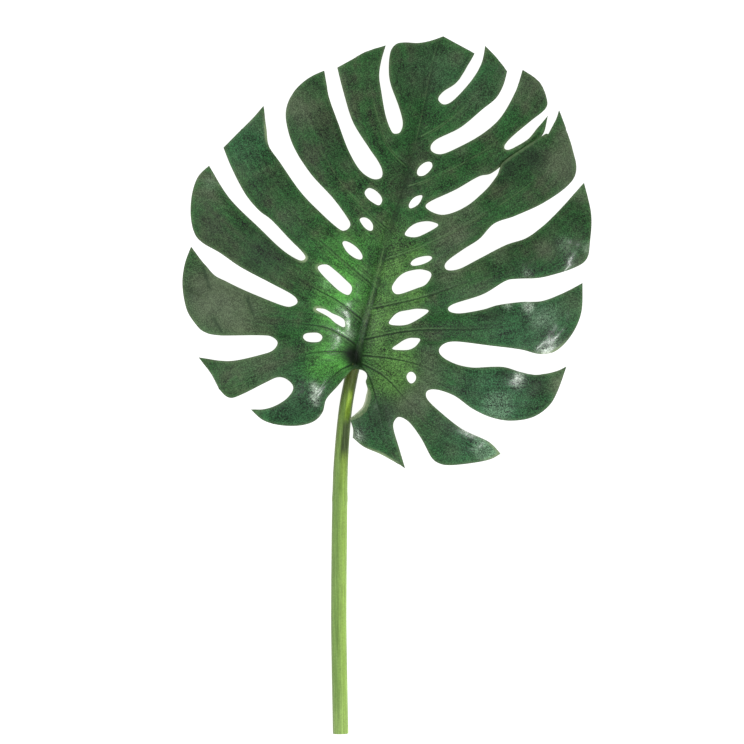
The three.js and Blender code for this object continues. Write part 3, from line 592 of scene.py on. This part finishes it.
PALE_RIM = [(-92, 230, 12, 0.6), (155, 202, 28, 0.12), (-50, 97, 10, 0.8), (-46, 52, 8, 0.8),
            (20, -98, 16, 0.6), (195, 8, 14, 0.5), (140, -92, 14, 0.5)]
FUNNEL_SHADE = [(-7, 8, 9, 0.85), (-4, -2, 8, 0.8), (2, 20, 10, 0.3), (-18, 6, 8, 0.25)]


def patches(places, flat):
    """Soft round patches added up and held under 1."""
    total = np.zeros(len(flat))
    for x, y, radius, strength in places:
        total += strength * np.exp(-((flat - (x, y)) ** 2).sum(1) / radius**2)
    return np.minimum(1, total)


named_patches = {"young": YOUNG, "olive": OLIVE, "cool": COOL, "wax_and_sheen": WAX_AND_SHEEN, "shade": SHADE, "painted_highlight": PAINTED_HIGHLIGHTS,
                 "sheen": SHEEN, "gloss": GLOSS, "pale_rim": PALE_RIM, "funnel": FUNNEL_SHADE}
numbers = {name: patches(places, flat_leaf) for name, places in named_patches.items()}
print("soft patches:", sum(len(places) for places in named_patches.values()))

# %% Numbers for the skin at every point
ROLL_WIDTH, WRINKLE_WIDTH, NARROW_PUCKER = 6.5, 1.6, 3
numbers |= {"vein": vein_away, "vein_along": vein_along, "vein_side": vein_side, "midrib": midrib_away,
            "midrib_along": midrib_along, "midrib_side": midrib_side, "rim": rim_away, "one_lobe": one_lobe,
            "run": vein_run * MM, "across": vein_away * vein_side * MM, "high_lobe": high_lobe}
# narrow puckers that sink get a line of painted shade in their crease
wrinkles = [nearest(np.array(line, float), flat_leaf)[0]
            for *line, half_width, rise in PUCKERS if rise < 0 and half_width < NARROW_PUCKER]
numbers["wrinkle_shade"] = np.exp(-((np.min(wrinkles, axis=0) / WRINKLE_WIDTH) ** 2))
# the rolled margin is widest a third of the way down and narrow at both ends
roll_away, roll_along, _ = nearest(curve(ROLLS[0][0], PIECES + 1), flat_leaf)
numbers["rolled"] = roll_away / (ROLL_WIDTH * np.sin(math.pi * (0.1 + 0.8 * roll_along**0.7)))
print("numbers at every point:", ", ".join(numbers))

# %% The blade as one closed mesh
RIM_CREASE = math.radians(55)


def mesh_piece(name, points_3d, faces, numbers):
    """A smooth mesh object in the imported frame, carrying named numbers at its points."""
    mesh = bpy.data.meshes.new(name)
    mesh.from_pydata(in_frame(points_3d).tolist(), [], [list(face) for face in faces])
    for label, values in numbers.items():
        layer = mesh.attributes.new(label, "FLOAT", "POINT")
        layer.data.foreach_set("value", np.asarray(values, np.float32))
    mesh.validate()
    mesh.shade_smooth()
    piece = bpy.data.objects.new(name, mesh)
    bpy.context.scene.collection.objects.link(piece)
    return piece


def rim_walls(faces, count):
    """Triangles that join the two faces along every edge that only one triangle uses."""
    sides = np.concatenate([faces[:, [0, 1]], faces[:, [1, 2]], faces[:, [2, 0]]])
    keys = np.sort(sides, axis=1)
    _, place, uses = np.unique(keys, axis=0, return_index=True, return_counts=True)
    start, end = sides[place[uses == 1]].T
    return np.concatenate([np.column_stack([end, start, start + count]),
                           np.column_stack([end, start + count, end + count])])


count = len(flat_leaf)
faces = np.concatenate([triangles, triangles[:, ::-1] + count, rim_walls(triangles, count)])
numbers = {label: np.concatenate([values, values]) for label, values in numbers.items()}
numbers["under"] = np.repeat([0.0, 1.0], count)
blade = mesh_piece("leaf_blade_skin", np.concatenate([upper, lower]), faces, numbers)
blade.data.set_sharp_from_angle(angle=RIM_CREASE)
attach(blade, "root")
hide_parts("leaf_blade")
print("blade:", len(blade.data.polygons), "triangles")

# %% [markdown]
# ## The stalk
# The stalk is a round rod that swells a little below the knee, where a faint ring runs round it. A bevelled
# curve object would give the rod, but not the ring, the seat under the blade or the cut end, so the rings
# are laid along the centre line in code and joined by quads.

# %% The stalk's rings
STALK_TOP_RADIUS, STALK_NECK_RADIUS, STALK_CUT_RADIUS = 4.5, 6.5, 7.75
STALK = [(-3, 8, 13), (-6, -6, 11), (-8.5, -16, 10.2), (-14.5, -50, 9.7), (-18.5, -95, 9.2),
         (-20, -140, 8.8), (-21, -240, 8.4), (-20.7, -290, 8.2), (-19.2, STALK_END, STALK_CUT_RADIUS)]
NECK_SHARE, FULL_SHARE = 0.05, 0.5
STALK_RINGS = [(0.385, 0.012, 0.35), (0.32, 0.006, 0.12)]
STALK_SIDES = 72
STALK_STEP = 1.6
FIBRES, FIBRE_HEIGHT, FIBRE_DRIFT = 11, 0.07, 0.6


def stalk_radius(share):
    """Radius along the stalk: a slim neck, a knee with faint rings, and a full lower part."""
    neck = STALK_TOP_RADIUS + (STALK_NECK_RADIUS - STALK_TOP_RADIUS) * smooth(share, 0, NECK_SHARE)
    radius = neck + (STALK_CUT_RADIUS - neck) * smooth(share, NECK_SHARE, FULL_SHARE)
    return radius + sum(rise * np.exp(-(((share - place) / width) ** 2))
                        for place, width, rise in STALK_RINGS)


centre = np.concatenate([spaced(STALK, STALK_STEP), [STALK[-1]]])
ahead = unit(np.gradient(centre, axis=0))
right = unit(np.cross((0, 0, 1), ahead))
top = np.cross(ahead, right)
share = np.linspace(0, 1, len(centre))
turn = np.linspace(0, 2 * math.pi, STALK_SIDES, endpoint=False)
fibres = FIBRE_HEIGHT * (1 + np.cos(FIBRES * turn + FIBRE_DRIFT * np.sin(3 * turn)))
radius = stalk_radius(share)[:, None] - fibres[None]
rings = (centre[:, None] + radius[..., None] * (np.sin(turn)[None, :, None] * right[:, None]
                                                + np.cos(turn)[None, :, None] * top[:, None]))
print("stalk:", len(centre), "rings of", STALK_SIDES)

# %% The cut end and the seat under the blade
CUT_BULGE, CUT_DISH, SEAT_GAP = 0.15, 0.6, 0.25
CUT_EDGE, CUT_FACE = (0.03, 0.08), (0.2, 0.4, 0.6, 0.8, 0.97)


def cut_ring(inset, sink):
    """The last ring drawn in towards the middle of the cut, and back up the stalk."""
    return centre[-1] + (rings[-1] - centre[-1]) * (1 - inset) - ahead[-1] * sink


cut = [cut_ring(inset, -CUT_BULGE) for inset in CUT_EDGE]
cut += [cut_ring(inset, CUT_DISH * math.sin(inset * math.pi / 2)) for inset in CUT_FACE]
body = len(rings)
rings = np.concatenate([rings, cut])
stalk_points = rings.reshape(-1, 3)
roof = laid(stalk_points[:, :2])[:, 2] - BLADE_THICKNESS - SEAT_GAP
under_blade = is_on_leaf(loops, stalk_points[:, :2])
stalk_points[:, 2] = np.where(under_blade, np.minimum(stalk_points[:, 2], roof), stalk_points[:, 2])
stalk_points[:, 2] = np.maximum(0, stalk_points[:, 2])
print("points of the stalk under the blade:", under_blade.sum())

# %% The stalk as one closed mesh
CUT_CREASE = math.radians(40)
ring, side = np.mgrid[0:len(rings) - 1, 0:STALK_SIDES]
here = (ring * STALK_SIDES + side).ravel()
beside = (ring * STALK_SIDES + (side + 1) % STALK_SIDES).ravel()
quads = np.column_stack([beside, here, here + STALK_SIDES, beside + STALK_SIDES]).tolist()
last = (len(rings) - 1) * STALK_SIDES
caps = [list(range(STALK_SIDES)), list(range(last, last + STALK_SIDES))[::-1]]
stalk_numbers = {"down": np.repeat(np.concatenate([share, np.ones(len(cut))]), STALK_SIDES),
                 "cut": np.repeat(np.arange(len(rings)) > body, STALK_SIDES).astype(float),
                 "across": np.tile(np.sin(turn), len(rings))}
stalk = mesh_piece("leaf_stalk_skin", stalk_points, quads + caps, stalk_numbers)
stalk.data.set_sharp_from_angle(angle=CUT_CREASE)
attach(stalk, "root")
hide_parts("leaf_stalk")
print("stalk:", len(stalk.data.polygons), "faces")

# %% [markdown]
# ## Shader maths as Python
# A leaf's skin mixes a dozen masks, and a node tree of that size is hard to read when every node is placed
# by hand. One small class wraps a socket, so that sums and products of masks are written as plain
# expressions.

# %% A socket that does arithmetic
class Shade:
    """A node socket that Python's operators act on."""

    def __init__(self, tree, socket=None):
        self.tree = tree
        self.socket = socket

    def node(self, kind, inputs=None, out=0, **settings):
        """Any node: its type, the values or links of its sockets, and its settings, which are set first."""
        made = self.tree.nodes.new("ShaderNode" + kind)
        for name, value in settings.items():
            setattr(made, name, value)
        for name, value in (inputs or {}).items():
            if isinstance(value, Shade):
                self.tree.links.new(value.socket, made.inputs[name])
            else:
                made.inputs[name].default_value = value
        return Shade(self.tree, made.outputs[out])

    def math(self, operation, first, second=0.0):
        """A Math node on two values."""
        return self.node("Math", {0: first, 1: second}, operation=operation)

    def __add__(self, other):
        return self.math("ADD", self, other)

    def __sub__(self, other):
        return self.math("SUBTRACT", self, other)

    def __rsub__(self, other):
        return self.math("SUBTRACT", other, self)

    def __mul__(self, other):
        return self.math("MULTIPLY", self, other)

    def __abs__(self):
        return self.math("ABSOLUTE", self)

    __radd__ = __add__
    __rmul__ = __mul__

    def step(self, low, high):
        """A smooth step from 0 at low to 1 at high."""
        values = {"Value": self, "From Min": low, "From Max": high}
        return self.node("MapRange", values, interpolation_type="SMOOTHSTEP")

    def band(self, start, full, fade, end):
        """0 outside start and end, 1 between full and fade."""
        return self.step(start, full) - self.step(fade, end)

    def mixed(self, colour, other):
        """This value as the factor between two colours."""
        inputs = {0: self}
        for place, value in ((6, colour), (7, other)):
            inputs[place] = value if isinstance(value, Shade) else (*value, 1)
        return self.node("Mix", inputs, out=2, data_type="RGBA")

    def scaled(self, factor):
        """This colour made lighter or darker by a factor."""
        return self.node("VectorMath", {0: self, "Scale": factor}, operation="SCALE")

    def number(self, name):
        """A number that the mesh carries at its points."""
        return self.node("Attribute", out=2, attribute_name=name)

    def place(self):
        """Where a point of the skin lies, in the object's own metres."""
        return self.node("TexCoord", out=3)

    def noise(self, scale, detail=2.0, stretch=(1, 1, 1)):
        """Noise in the object's own metres, drawn out along its axes if asked."""
        place = self.node("VectorMath", {0: self.place(), 1: stretch}, operation="MULTIPLY")
        return self.node("TexNoise", {"Vector": place, "Scale": scale, "Detail": detail})

    def cells(self, scale):
        """A random number for each small cell of the skin."""
        colour = self.node("TexVoronoi", {"Vector": self.place(), "Scale": scale}, out=1, feature="F1")
        return self.node("SeparateColor", {"Color": colour})

    def bump(self, distance):
        """A normal from this height, which stands as far out as the distance in metres."""
        return self.node("Bump", {"Height": self, "Distance": distance, "Strength": 1.0})

    def lobe_noise(self, scale, detail=2.0, run=0.16, across=1.0):
        """Noise drawn out along or across the vein of each lobe, and even where two lobes meet."""
        place = self.node("CombineXYZ", {"X": self.number("run") * run, "Y": self.number("across") * across})
        streaks = self.node("TexNoise", {"Vector": place, "Scale": scale, "Detail": detail})
        return 0.5 + (streaks - 0.5) * self.number("one_lobe")


# %% A material on a piece
def new_material(name, piece, sockets_of):
    """A Principled material on a piece; the function says what its sockets get."""
    material = bpy.data.materials.new(name)
    material.use_nodes = True
    tree = material.node_tree
    shader = tree.nodes["Principled BSDF"]
    for label, value in sockets_of(Shade(tree)).items():
        if isinstance(value, Shade):
            tree.links.new(value.socket, shader.inputs[label])
        else:
            shader.inputs[label].default_value = value
    piece.data.materials.append(material)
    print(name, "has", len(tree.nodes), "nodes")


# %% [markdown]
# ## The leaf's skin
# The upper skin is a dark green that turns vivid beside the midrib, where the leaf is youngest, bluish on
# the low lobes and greyish on the drooping ones, where a thin waxy film and a painted grey sheen are mixed.
# Painted highlights, a painted teal sheen and painted shade lie on top, and a fine speckle covers all of it.
# A painted picture would need a flat map of the leaf and would blur close up, so the skin is mixed from the
# patches above and from noise, which stays sharp at any distance.

# %% The ground colour of the upper face
DEEP_GREEN = (0.020, 0.092, 0.021)
BROWN_GREEN = (0.045, 0.072, 0.031)
COOL_GREEN = (0.026, 0.108, 0.043)
VIVID_GREEN = (0.078, 0.310, 0.048)
OLIVE_GREEN = (0.078, 0.196, 0.042)
# grey of the waxy lobes, with a painted sheen mixed in
WAX_AND_SHEEN_GREY = (0.098, 0.138, 0.075)
SHADE_GREEN = (0.018, 0.044, 0.018)
# a pale painted highlight and a painted teal sheen
PAINTED_HIGHLIGHT_PALE = (0.480, 0.580, 0.470)
SHEEN_TEAL = (0.340, 0.560, 0.360)
SPECKLES = 1300


def upper_skin(shade):
    """The ground colour of the upper face, with its painted sheen, highlights and shade, before the veins.
    """
    ragged = 0.3 + shade.noise(42, 4) * 0.7 + shade.lobe_noise(130, 3) * 0.7
    bands = shade.lobe_noise(75, 3, 1.0, 0.2)
    smudges = shade.noise(24, 4) * 0.4 + shade.lobe_noise(120, 4) * 0.3 + bands * 0.3
    green = smudges.step(0.45, 0.62).mixed(DEEP_GREEN, BROWN_GREEN)
    green = (shade.number("cool") * ragged).mixed(green, COOL_GREEN)
    wax_and_sheen, young = shade.number("wax_and_sheen"), shade.number("young")
    # greyish waxy skin with a painted grey sheen
    green = (wax_and_sheen * ragged).step(0.1, 1.0).mixed(green, WAX_AND_SHEEN_GREY)
    green = (shade.number("olive") * ragged).step(0.05, 0.9).mixed(green, OLIVE_GREEN)
    vivid = young * ragged * (0.3 + shade.lobe_noise(300, 3) * 1.2)
    green = vivid.step(-0.05, 1.0).mixed(green, VIVID_GREEN)
    green = (shade.number("shade") * ragged).mixed(green, SHADE_GREEN)
    wisps = shade.lobe_noise(420, 3) * 0.5 + shade.noise(260, 4) * 0.5
    # pale painted highlights, broken into wisps
    green = (shade.number("painted_highlight") * (0.6 + 0.4 * wisps.step(0.34, 0.66))).mixed(green, PAINTED_HIGHLIGHT_PALE)
    green = (0.28 * shade.number("sheen").step(0.3, 0.6)).mixed(green, SHEEN_TEAL)
    grain = shade.math("POWER", 0.55 + 0.9 * shade.cells(SPECKLES), 2.2) * 0.92 - 1
    grain = grain * (1 - 0.5 * wax_and_sheen) * (1 - 0.3 * young)
    clouds = (shade.noise(50, 3) - 0.5) * 1.2 + (shade.lobe_noise(160, 3) - 0.5) * 1.2
    clouds = clouds + (shade.lobe_noise(420, 3) - 0.5) + (bands - 0.5) * 1.5
    shine = 1.0 + 0.25 * (1 - shade.number("rim").step(0.5, 8))
    green = green.scaled(shine + grain + clouds * (1 - 0.6 * wax_and_sheen))
    # painted shade along the creases of narrow sunken puckers
    return (shade.number("wrinkle_shade") * 0.75).mixed(green, SHADE_GREEN)


print("speckles:", round(1 / SPECKLES / MM, 2), "mm wide")

# %% [markdown]
# ## Veins
# On the real leaf the veins are thin dark grooves with a lit edge, and the midrib is a pale ridge between
# two gutters. The mesh has that relief already, but from above it is only a pixel or two wide, so the same
# distances from the veins also darken and lighten the skin.

# %% Veins and midrib
VEIN_SHADOW = (0.006, 0.022, 0.006)
VEIN_LIGHT = (0.130, 0.250, 0.090)
MIDRIB_OLIVE = (0.115, 0.190, 0.075)


def veined_skin(shade, green):
    """Grooves of the veins, fine lines beside them, and the midrib."""
    away, along, midrib = shade.number("vein"), shade.number("vein_along"), shade.number("midrib")
    clear = midrib.step(2.0, 5)
    left_of_vein = shade.number("vein_side").step(-0.5, 0.5)
    lit = away.band(0.9, 1.5, 1.7, 3.0) * left_of_vein * (1 - along.step(0.15, 0.55))
    green = (lit * clear * 0.5).mixed(green, VEIN_LIGHT)
    fine = (away.band(2.8, 3.3, 3.4, 4.0) + away.band(5.4, 5.9, 6.0, 6.6)) * (1 - along.step(0.08, 0.3))
    green = (fine * clear * 0.5).mixed(green, VEIN_SHADOW)
    high = shade.number("high_lobe")
    groove = (1 - (away + along * 1.1).step(0.4, 1.5)) * (1 - along.step(0.35, 0.85)) * (1 - high * 0.7)
    green = (groove * clear * 0.85).mixed(green, VEIN_SHADOW)
    thread = (1 - away.step(0.2, 0.9)) * along.band(0.1, 0.2, 0.5, 0.85) * high
    green = (thread * shade.noise(90, 3).step(0.35, 0.6) * 0.45).mixed(green, VEIN_LIGHT)
    length, left = shade.number("midrib_along"), shade.number("midrib_side").step(-0.5, 0.5)
    broken = shade.noise(60, 3).step(0.38, 0.60)
    gutter = (midrib + length * 1.2).band(0.9, 2.2, 3.2, 6.0) * (1 - left * 0.6) * (1 - length * 0.5)
    green = (gutter * (0.3 + 0.7 * broken) * 0.75).mixed(green, VEIN_SHADOW)
    furrow = (1 - midrib.step(0.4, 1.7)) * length.band(0.38, 0.48, 0.6, 0.72)
    green = (furrow * 0.7).mixed(green, VEIN_SHADOW)
    rib = (1 - (midrib + length * 0.5).step(0.4, 1.4)) * (1 - length.band(0.36, 0.46, 0.6, 0.72) * 0.8)
    return (rib * (0.35 - 0.3 * length + (0.45 - 0.35 * length) * broken)).mixed(green, MIDRIB_OLIVE)


print("widest vein groove:", 2 * VEIN_GROOVE_WIDTH, "mm")

# %% [markdown]
# ## Margins, funnel and underside
# The margin is brown at the very edge and pale where it curls, the rolled one beside the stalk shows its
# pale underside, and the blade's foot sinks into a funnel that is painted dark with shade. The underside is
# pale and dull. All of it is one material, because the blade is one mesh: a number at its points says which
# face a point belongs to.

# %% The whole blade
PALE_MARGIN = (0.270, 0.370, 0.190)
ROLLED_GREEN = (0.190, 0.265, 0.125)
ROLLED_EDGE = (0.540, 0.580, 0.420)
EDGE_BROWN = (0.024, 0.034, 0.016)
# painted shade in the funnel at the blade's foot, and the dark green round it
FUNNEL_SHADE_BLACK = (0.004, 0.010, 0.004)
FUNNEL_SHADE_GREEN = (0.012, 0.040, 0.010)
PALE_UNDERSIDE = (0.190, 0.310, 0.120)
PALE_RIB = (0.300, 0.420, 0.180)
LEAF_BUMP, WAX_FLAKES = 0.0005, 900


def leaf_colour(shade):
    """Both faces of the blade, with the margins, the rolled edge and painted shade in the funnel."""
    green = veined_skin(shade, upper_skin(shade))
    rim = shade.number("rim")
    green = ((1 - rim.step(0.1, 1.0)) * 0.4).mixed(green, EDGE_BROWN)
    margin = (0.22 + shade.number("pale_rim")) * (1 - rim.step(0.8, 4.2)) * (0.5 + shade.noise(150, 2))
    green = margin.step(0.0, 0.9).mixed(green, PALE_MARGIN)
    rolled = shade.number("rolled") + shade.noise(220, 3) * 0.4
    threads = shade.noise(700, 2, (1, 0.4, 1)).step(0.35, 0.65)
    green = ((1 - rolled.step(0.85, 1.2)) * (0.4 + 0.6 * threads)).mixed(green, ROLLED_GREEN)
    green = ((1 - shade.number("rolled").step(0.1, 0.4)) * 0.7).mixed(green, ROLLED_EDGE)
    # painted shade: black deep in the funnel at the blade's foot, dark green round it
    funnel = shade.number("funnel") + (shade.noise(160, 3) - 0.5) * 0.3
    green = (funnel.step(0.08, 0.75) * 0.85).mixed(green, FUNNEL_SHADE_GREEN)
    green = funnel.step(0.55, 1.05).mixed(green, FUNNEL_SHADE_BLACK)
    ribbed = 1 - shade.number("vein").step(0.5, 3) * shade.number("midrib").step(1.5, 5)
    pale = (ribbed * 0.7).mixed(PALE_UNDERSIDE, PALE_RIB)
    pale = (shade.noise(500, 2).step(0.4, 0.7) * 0.3).mixed(pale, VEIN_LIGHT)
    pale = pale.scaled(0.7 + 0.4 * shade.noise(45, 4) + 0.2 * shade.cells(SPECKLES))
    return shade.number("under").step(0.4, 0.6).mixed(green, pale)


def leaf_skin(shade):
    """The blade's colour, a fine unevenness, and a broken waxy coat where it shines."""
    height = 0.6 * shade.noise(900, 2) + 0.5 * shade.noise(230, 3) + 0.8 * shade.lobe_noise(260, 3)
    dull = shade.number("under").step(0.4, 0.6)
    gloss = shade.number("gloss") * (1 - dull)
    broken = (0.3 + 0.7 * shade.cells(WAX_FLAKES)) * (0.45 + 0.55 * shade.noise(160, 3).step(0.36, 0.62))
    rough = 0.46 - 0.1 * gloss + 0.14 * shade.noise(80, 3) + 0.15 * dull
    return {"Base Color": leaf_colour(shade), "Normal": height.bump(LEAF_BUMP), "Roughness": rough,
            "Specular IOR Level": 0.25, "Coat Weight": gloss * broken, "Coat Roughness": 0.23,
            "Coat IOR": 1.75}


new_material("leaf_skin_green", blade, leaf_skin)

# %% [markdown]
# ## The stalk's skin
# Near the blade the stalk is olive, with painted shade on its flanks and a painted yellow-green streak where
# light shines through its flesh. Below the knee it is a clear light green, painted lighter on the right and
# darker on the left as light falls on a rod, with long fine streaks. The cut end shows pale flesh with the
# dots of the vessels. Noise drawn out along the stalk gives the streaks: it needs no unwrapping, because the
# stalk lies along one axis.

# %% Stalk skin
DARK_OLIVE = (0.070, 0.095, 0.014)
SHADOW_OLIVE = (0.028, 0.048, 0.012)
NECK_GREEN = (0.132, 0.238, 0.030)
STALK_SHADE = (0.184, 0.322, 0.068)
STALK_SUNNY = (0.365, 0.582, 0.112)
PALE_STALK = (0.500, 0.680, 0.230)
GLOW_GREEN = (0.330, 0.500, 0.050)
STREAK_GREEN = (0.330, 0.480, 0.160)
FLANK_BROWN = (0.130, 0.160, 0.035)
FLESH = (0.480, 0.560, 0.300)
VESSEL = (0.200, 0.260, 0.100)
STALK_BUMP, VESSEL_CELLS = 0.0003, 900


def stalk_colour(shade):
    """From the olive neck down to the pale cut end."""
    down, across = shade.number("down"), shade.number("across")
    green = down.step(0.06, 0.15).mixed(DARK_OLIVE, NECK_GREEN)
    # painted light and shade: the left side darker, the right side lighter
    sides = across.step(-0.35, 0.6).mixed(STALK_SHADE, STALK_SUNNY)
    green = down.step(0.12, 0.42).mixed(green, sides)
    green = (down.step(0.85, 1.0) * 0.25).mixed(green, PALE_STALK)
    neck = 1 - down.step(0.16, 0.42)
    # painted shade on both flanks of the neck
    green = (abs(across).step(0.45, 0.95) * neck * 0.7).mixed(green, DARK_OLIVE)
    shadow = across.band(-0.35, 0.05, 0.75, 1.0)
    green = (shadow * down.band(0.16, 0.2, 0.25, 0.305) * 0.9).mixed(green, SHADOW_OLIVE)
    stain = across.band(-0.5, -0.1, 0.2, 0.55) * down.band(0.31, 0.335, 0.355, 0.385)
    green = (stain * 0.5).mixed(green, NECK_GREEN)
    # a painted streak of light down the neck, and a fainter one lower down
    glow = across.band(-0.15, 0.2, 0.6, 0.95)
    lit = down.band(0.09, 0.125, 0.155, 0.19) + down.band(0.25, 0.29, 0.31, 0.36) * 0.35
    green = (glow * lit).mixed(green, GLOW_GREEN)
    green = ((0 - across).step(0.7, 0.98) * 0.45).mixed(green, FLANK_BROWN)
    streaks = shade.noise(900, 3, (1, 0.03, 1)).step(0.45, 0.7)
    green = (streaks * 0.22).mixed(green, STREAK_GREEN)
    fibres = (shade.noise(800, 3, (1, 0.04, 1)) - 0.5) * 1.1
    green = green.scaled(1 + fibres + (shade.noise(600, 2) - 0.5) * 0.6)
    dots = shade.node("TexVoronoi", {"Vector": shade.place(), "Scale": VESSEL_CELLS}, feature="F1")
    flesh = dots.step(0.15, 0.35).mixed(VESSEL, FLESH)
    return shade.number("cut").step(0.4, 0.6).mixed(green, flesh)


def stalk_skin(shade):
    """The stalk's colour, long raised fibres, and a half gloss that is streaked like them."""
    height = shade.noise(700, 3, (1, 0.05, 1)) + 0.5 * shade.noise(500, 2)
    rough = 0.42 + 0.15 * shade.noise(120, 2, (1, 0.1, 1))
    return {"Base Color": stalk_colour(shade), "Normal": height.bump(STALK_BUMP), "Roughness": rough,
            "Specular IOR Level": 0.35}


new_material("stalk_skin_green", stalk, stalk_skin)

# %% [markdown]
# ## Table, light and camera
# The leaf lies face up, so the camera hangs straight above it with a long lens, which keeps the lobes in
# proportion. A broad dim light at the left gives the drooping left lobes a grey sheen, and a narrow bright
# one at the lower right leaves small streaks where the skin tilts towards it. The table glows a little, as a
# light table does, which keeps the holes and slits white.

# %% Table
FLOOR_SIZE, FLOOR_DROP = 30, 0.0003
FLOOR_WHITE, FLOOR_GLOW = 0.35, 0.94
FLOOR_ROUGHNESS, FLOOR_SHINE = 0.9, 0.1
floor_mesh = bpy.data.meshes.new("table")
half = FLOOR_SIZE / 2
corners = [(-half, -half), (half, -half), (half, half), (-half, half)]
floor_mesh.from_pydata([(x, y, -FLOOR_DROP) for x, y in corners], [], [(0, 1, 2, 3)])
floor = bpy.data.objects.new("table", floor_mesh)
bpy.context.scene.collection.objects.link(floor)
paper = {"Base Color": (FLOOR_WHITE, FLOOR_WHITE, FLOOR_WHITE, 1), "Roughness": FLOOR_ROUGHNESS,
         "Specular IOR Level": FLOOR_SHINE, "Emission Color": (1, 1, 1, 1), "Emission Strength": FLOOR_GLOW}
new_material("table_white", floor, lambda shade: paper)
print("table", FLOOR_SIZE, "m wide")

# %% Lights
WORLD_STRENGTH = 0.35
LIT_PLACE = Vector((0, 0.1, 0))


def soft_light(name, place, size, brightness):
    """A rectangular soft light turned towards the leaf, as bright all over as it says."""
    data = bpy.data.lights.new(name, "AREA")
    data.shape, data.size, data.size_y = "RECTANGLE", size[0], size[1]
    data.energy = brightness * math.pi * size[0] * size[1]
    light = bpy.data.objects.new(name, data)
    light.location = place
    light.rotation_mode = "QUATERNION"
    light.rotation_quaternion = (LIT_PLACE - Vector(place)).to_track_quat("-Z", "Y")
    light.visible_camera = False
    bpy.context.scene.collection.objects.link(light)
    print(name, "gives", round(data.energy, 1), "W")


soft_light("left_window", (-1.6, 0.3, 1.4), (1.4, 1.4), 2.8)
soft_light("key_strip", (0.93, -0.9, 1.78), (0.85, 0.2), 36)
soft_light("head_fill", (0.1, 1.9, 1.6), (1.6, 0.8), 1.5)
world = bpy.data.worlds.new("studio")
world.use_nodes = True
background = world.node_tree.nodes["Background"]
background.inputs["Color"].default_value = (1, 1, 1, 1)
background.inputs["Strength"].default_value = WORLD_STRENGTH
bpy.context.scene.world = world
bpy.context.scene.view_settings.view_transform = "Standard"

# %% Camera
FRAME_WIDTH = 0.744
LENS, SENSOR, FAR_CLIP = 200, 36, 100
RIM_HEIGHT = 0.006
AIM = (-0.015, 0.0125)
camera_data = bpy.data.cameras.new("above")
camera_data.lens, camera_data.sensor_width = LENS, SENSOR
camera_data.clip_end = FAR_CLIP
camera = bpy.data.objects.new("above", camera_data)
camera.location = (*AIM, RIM_HEIGHT + FRAME_WIDTH * LENS / SENSOR)
bpy.context.scene.collection.objects.link(camera)
bpy.context.scene.camera = camera
print("camera", round(camera.location.z, 3), "m above the table")
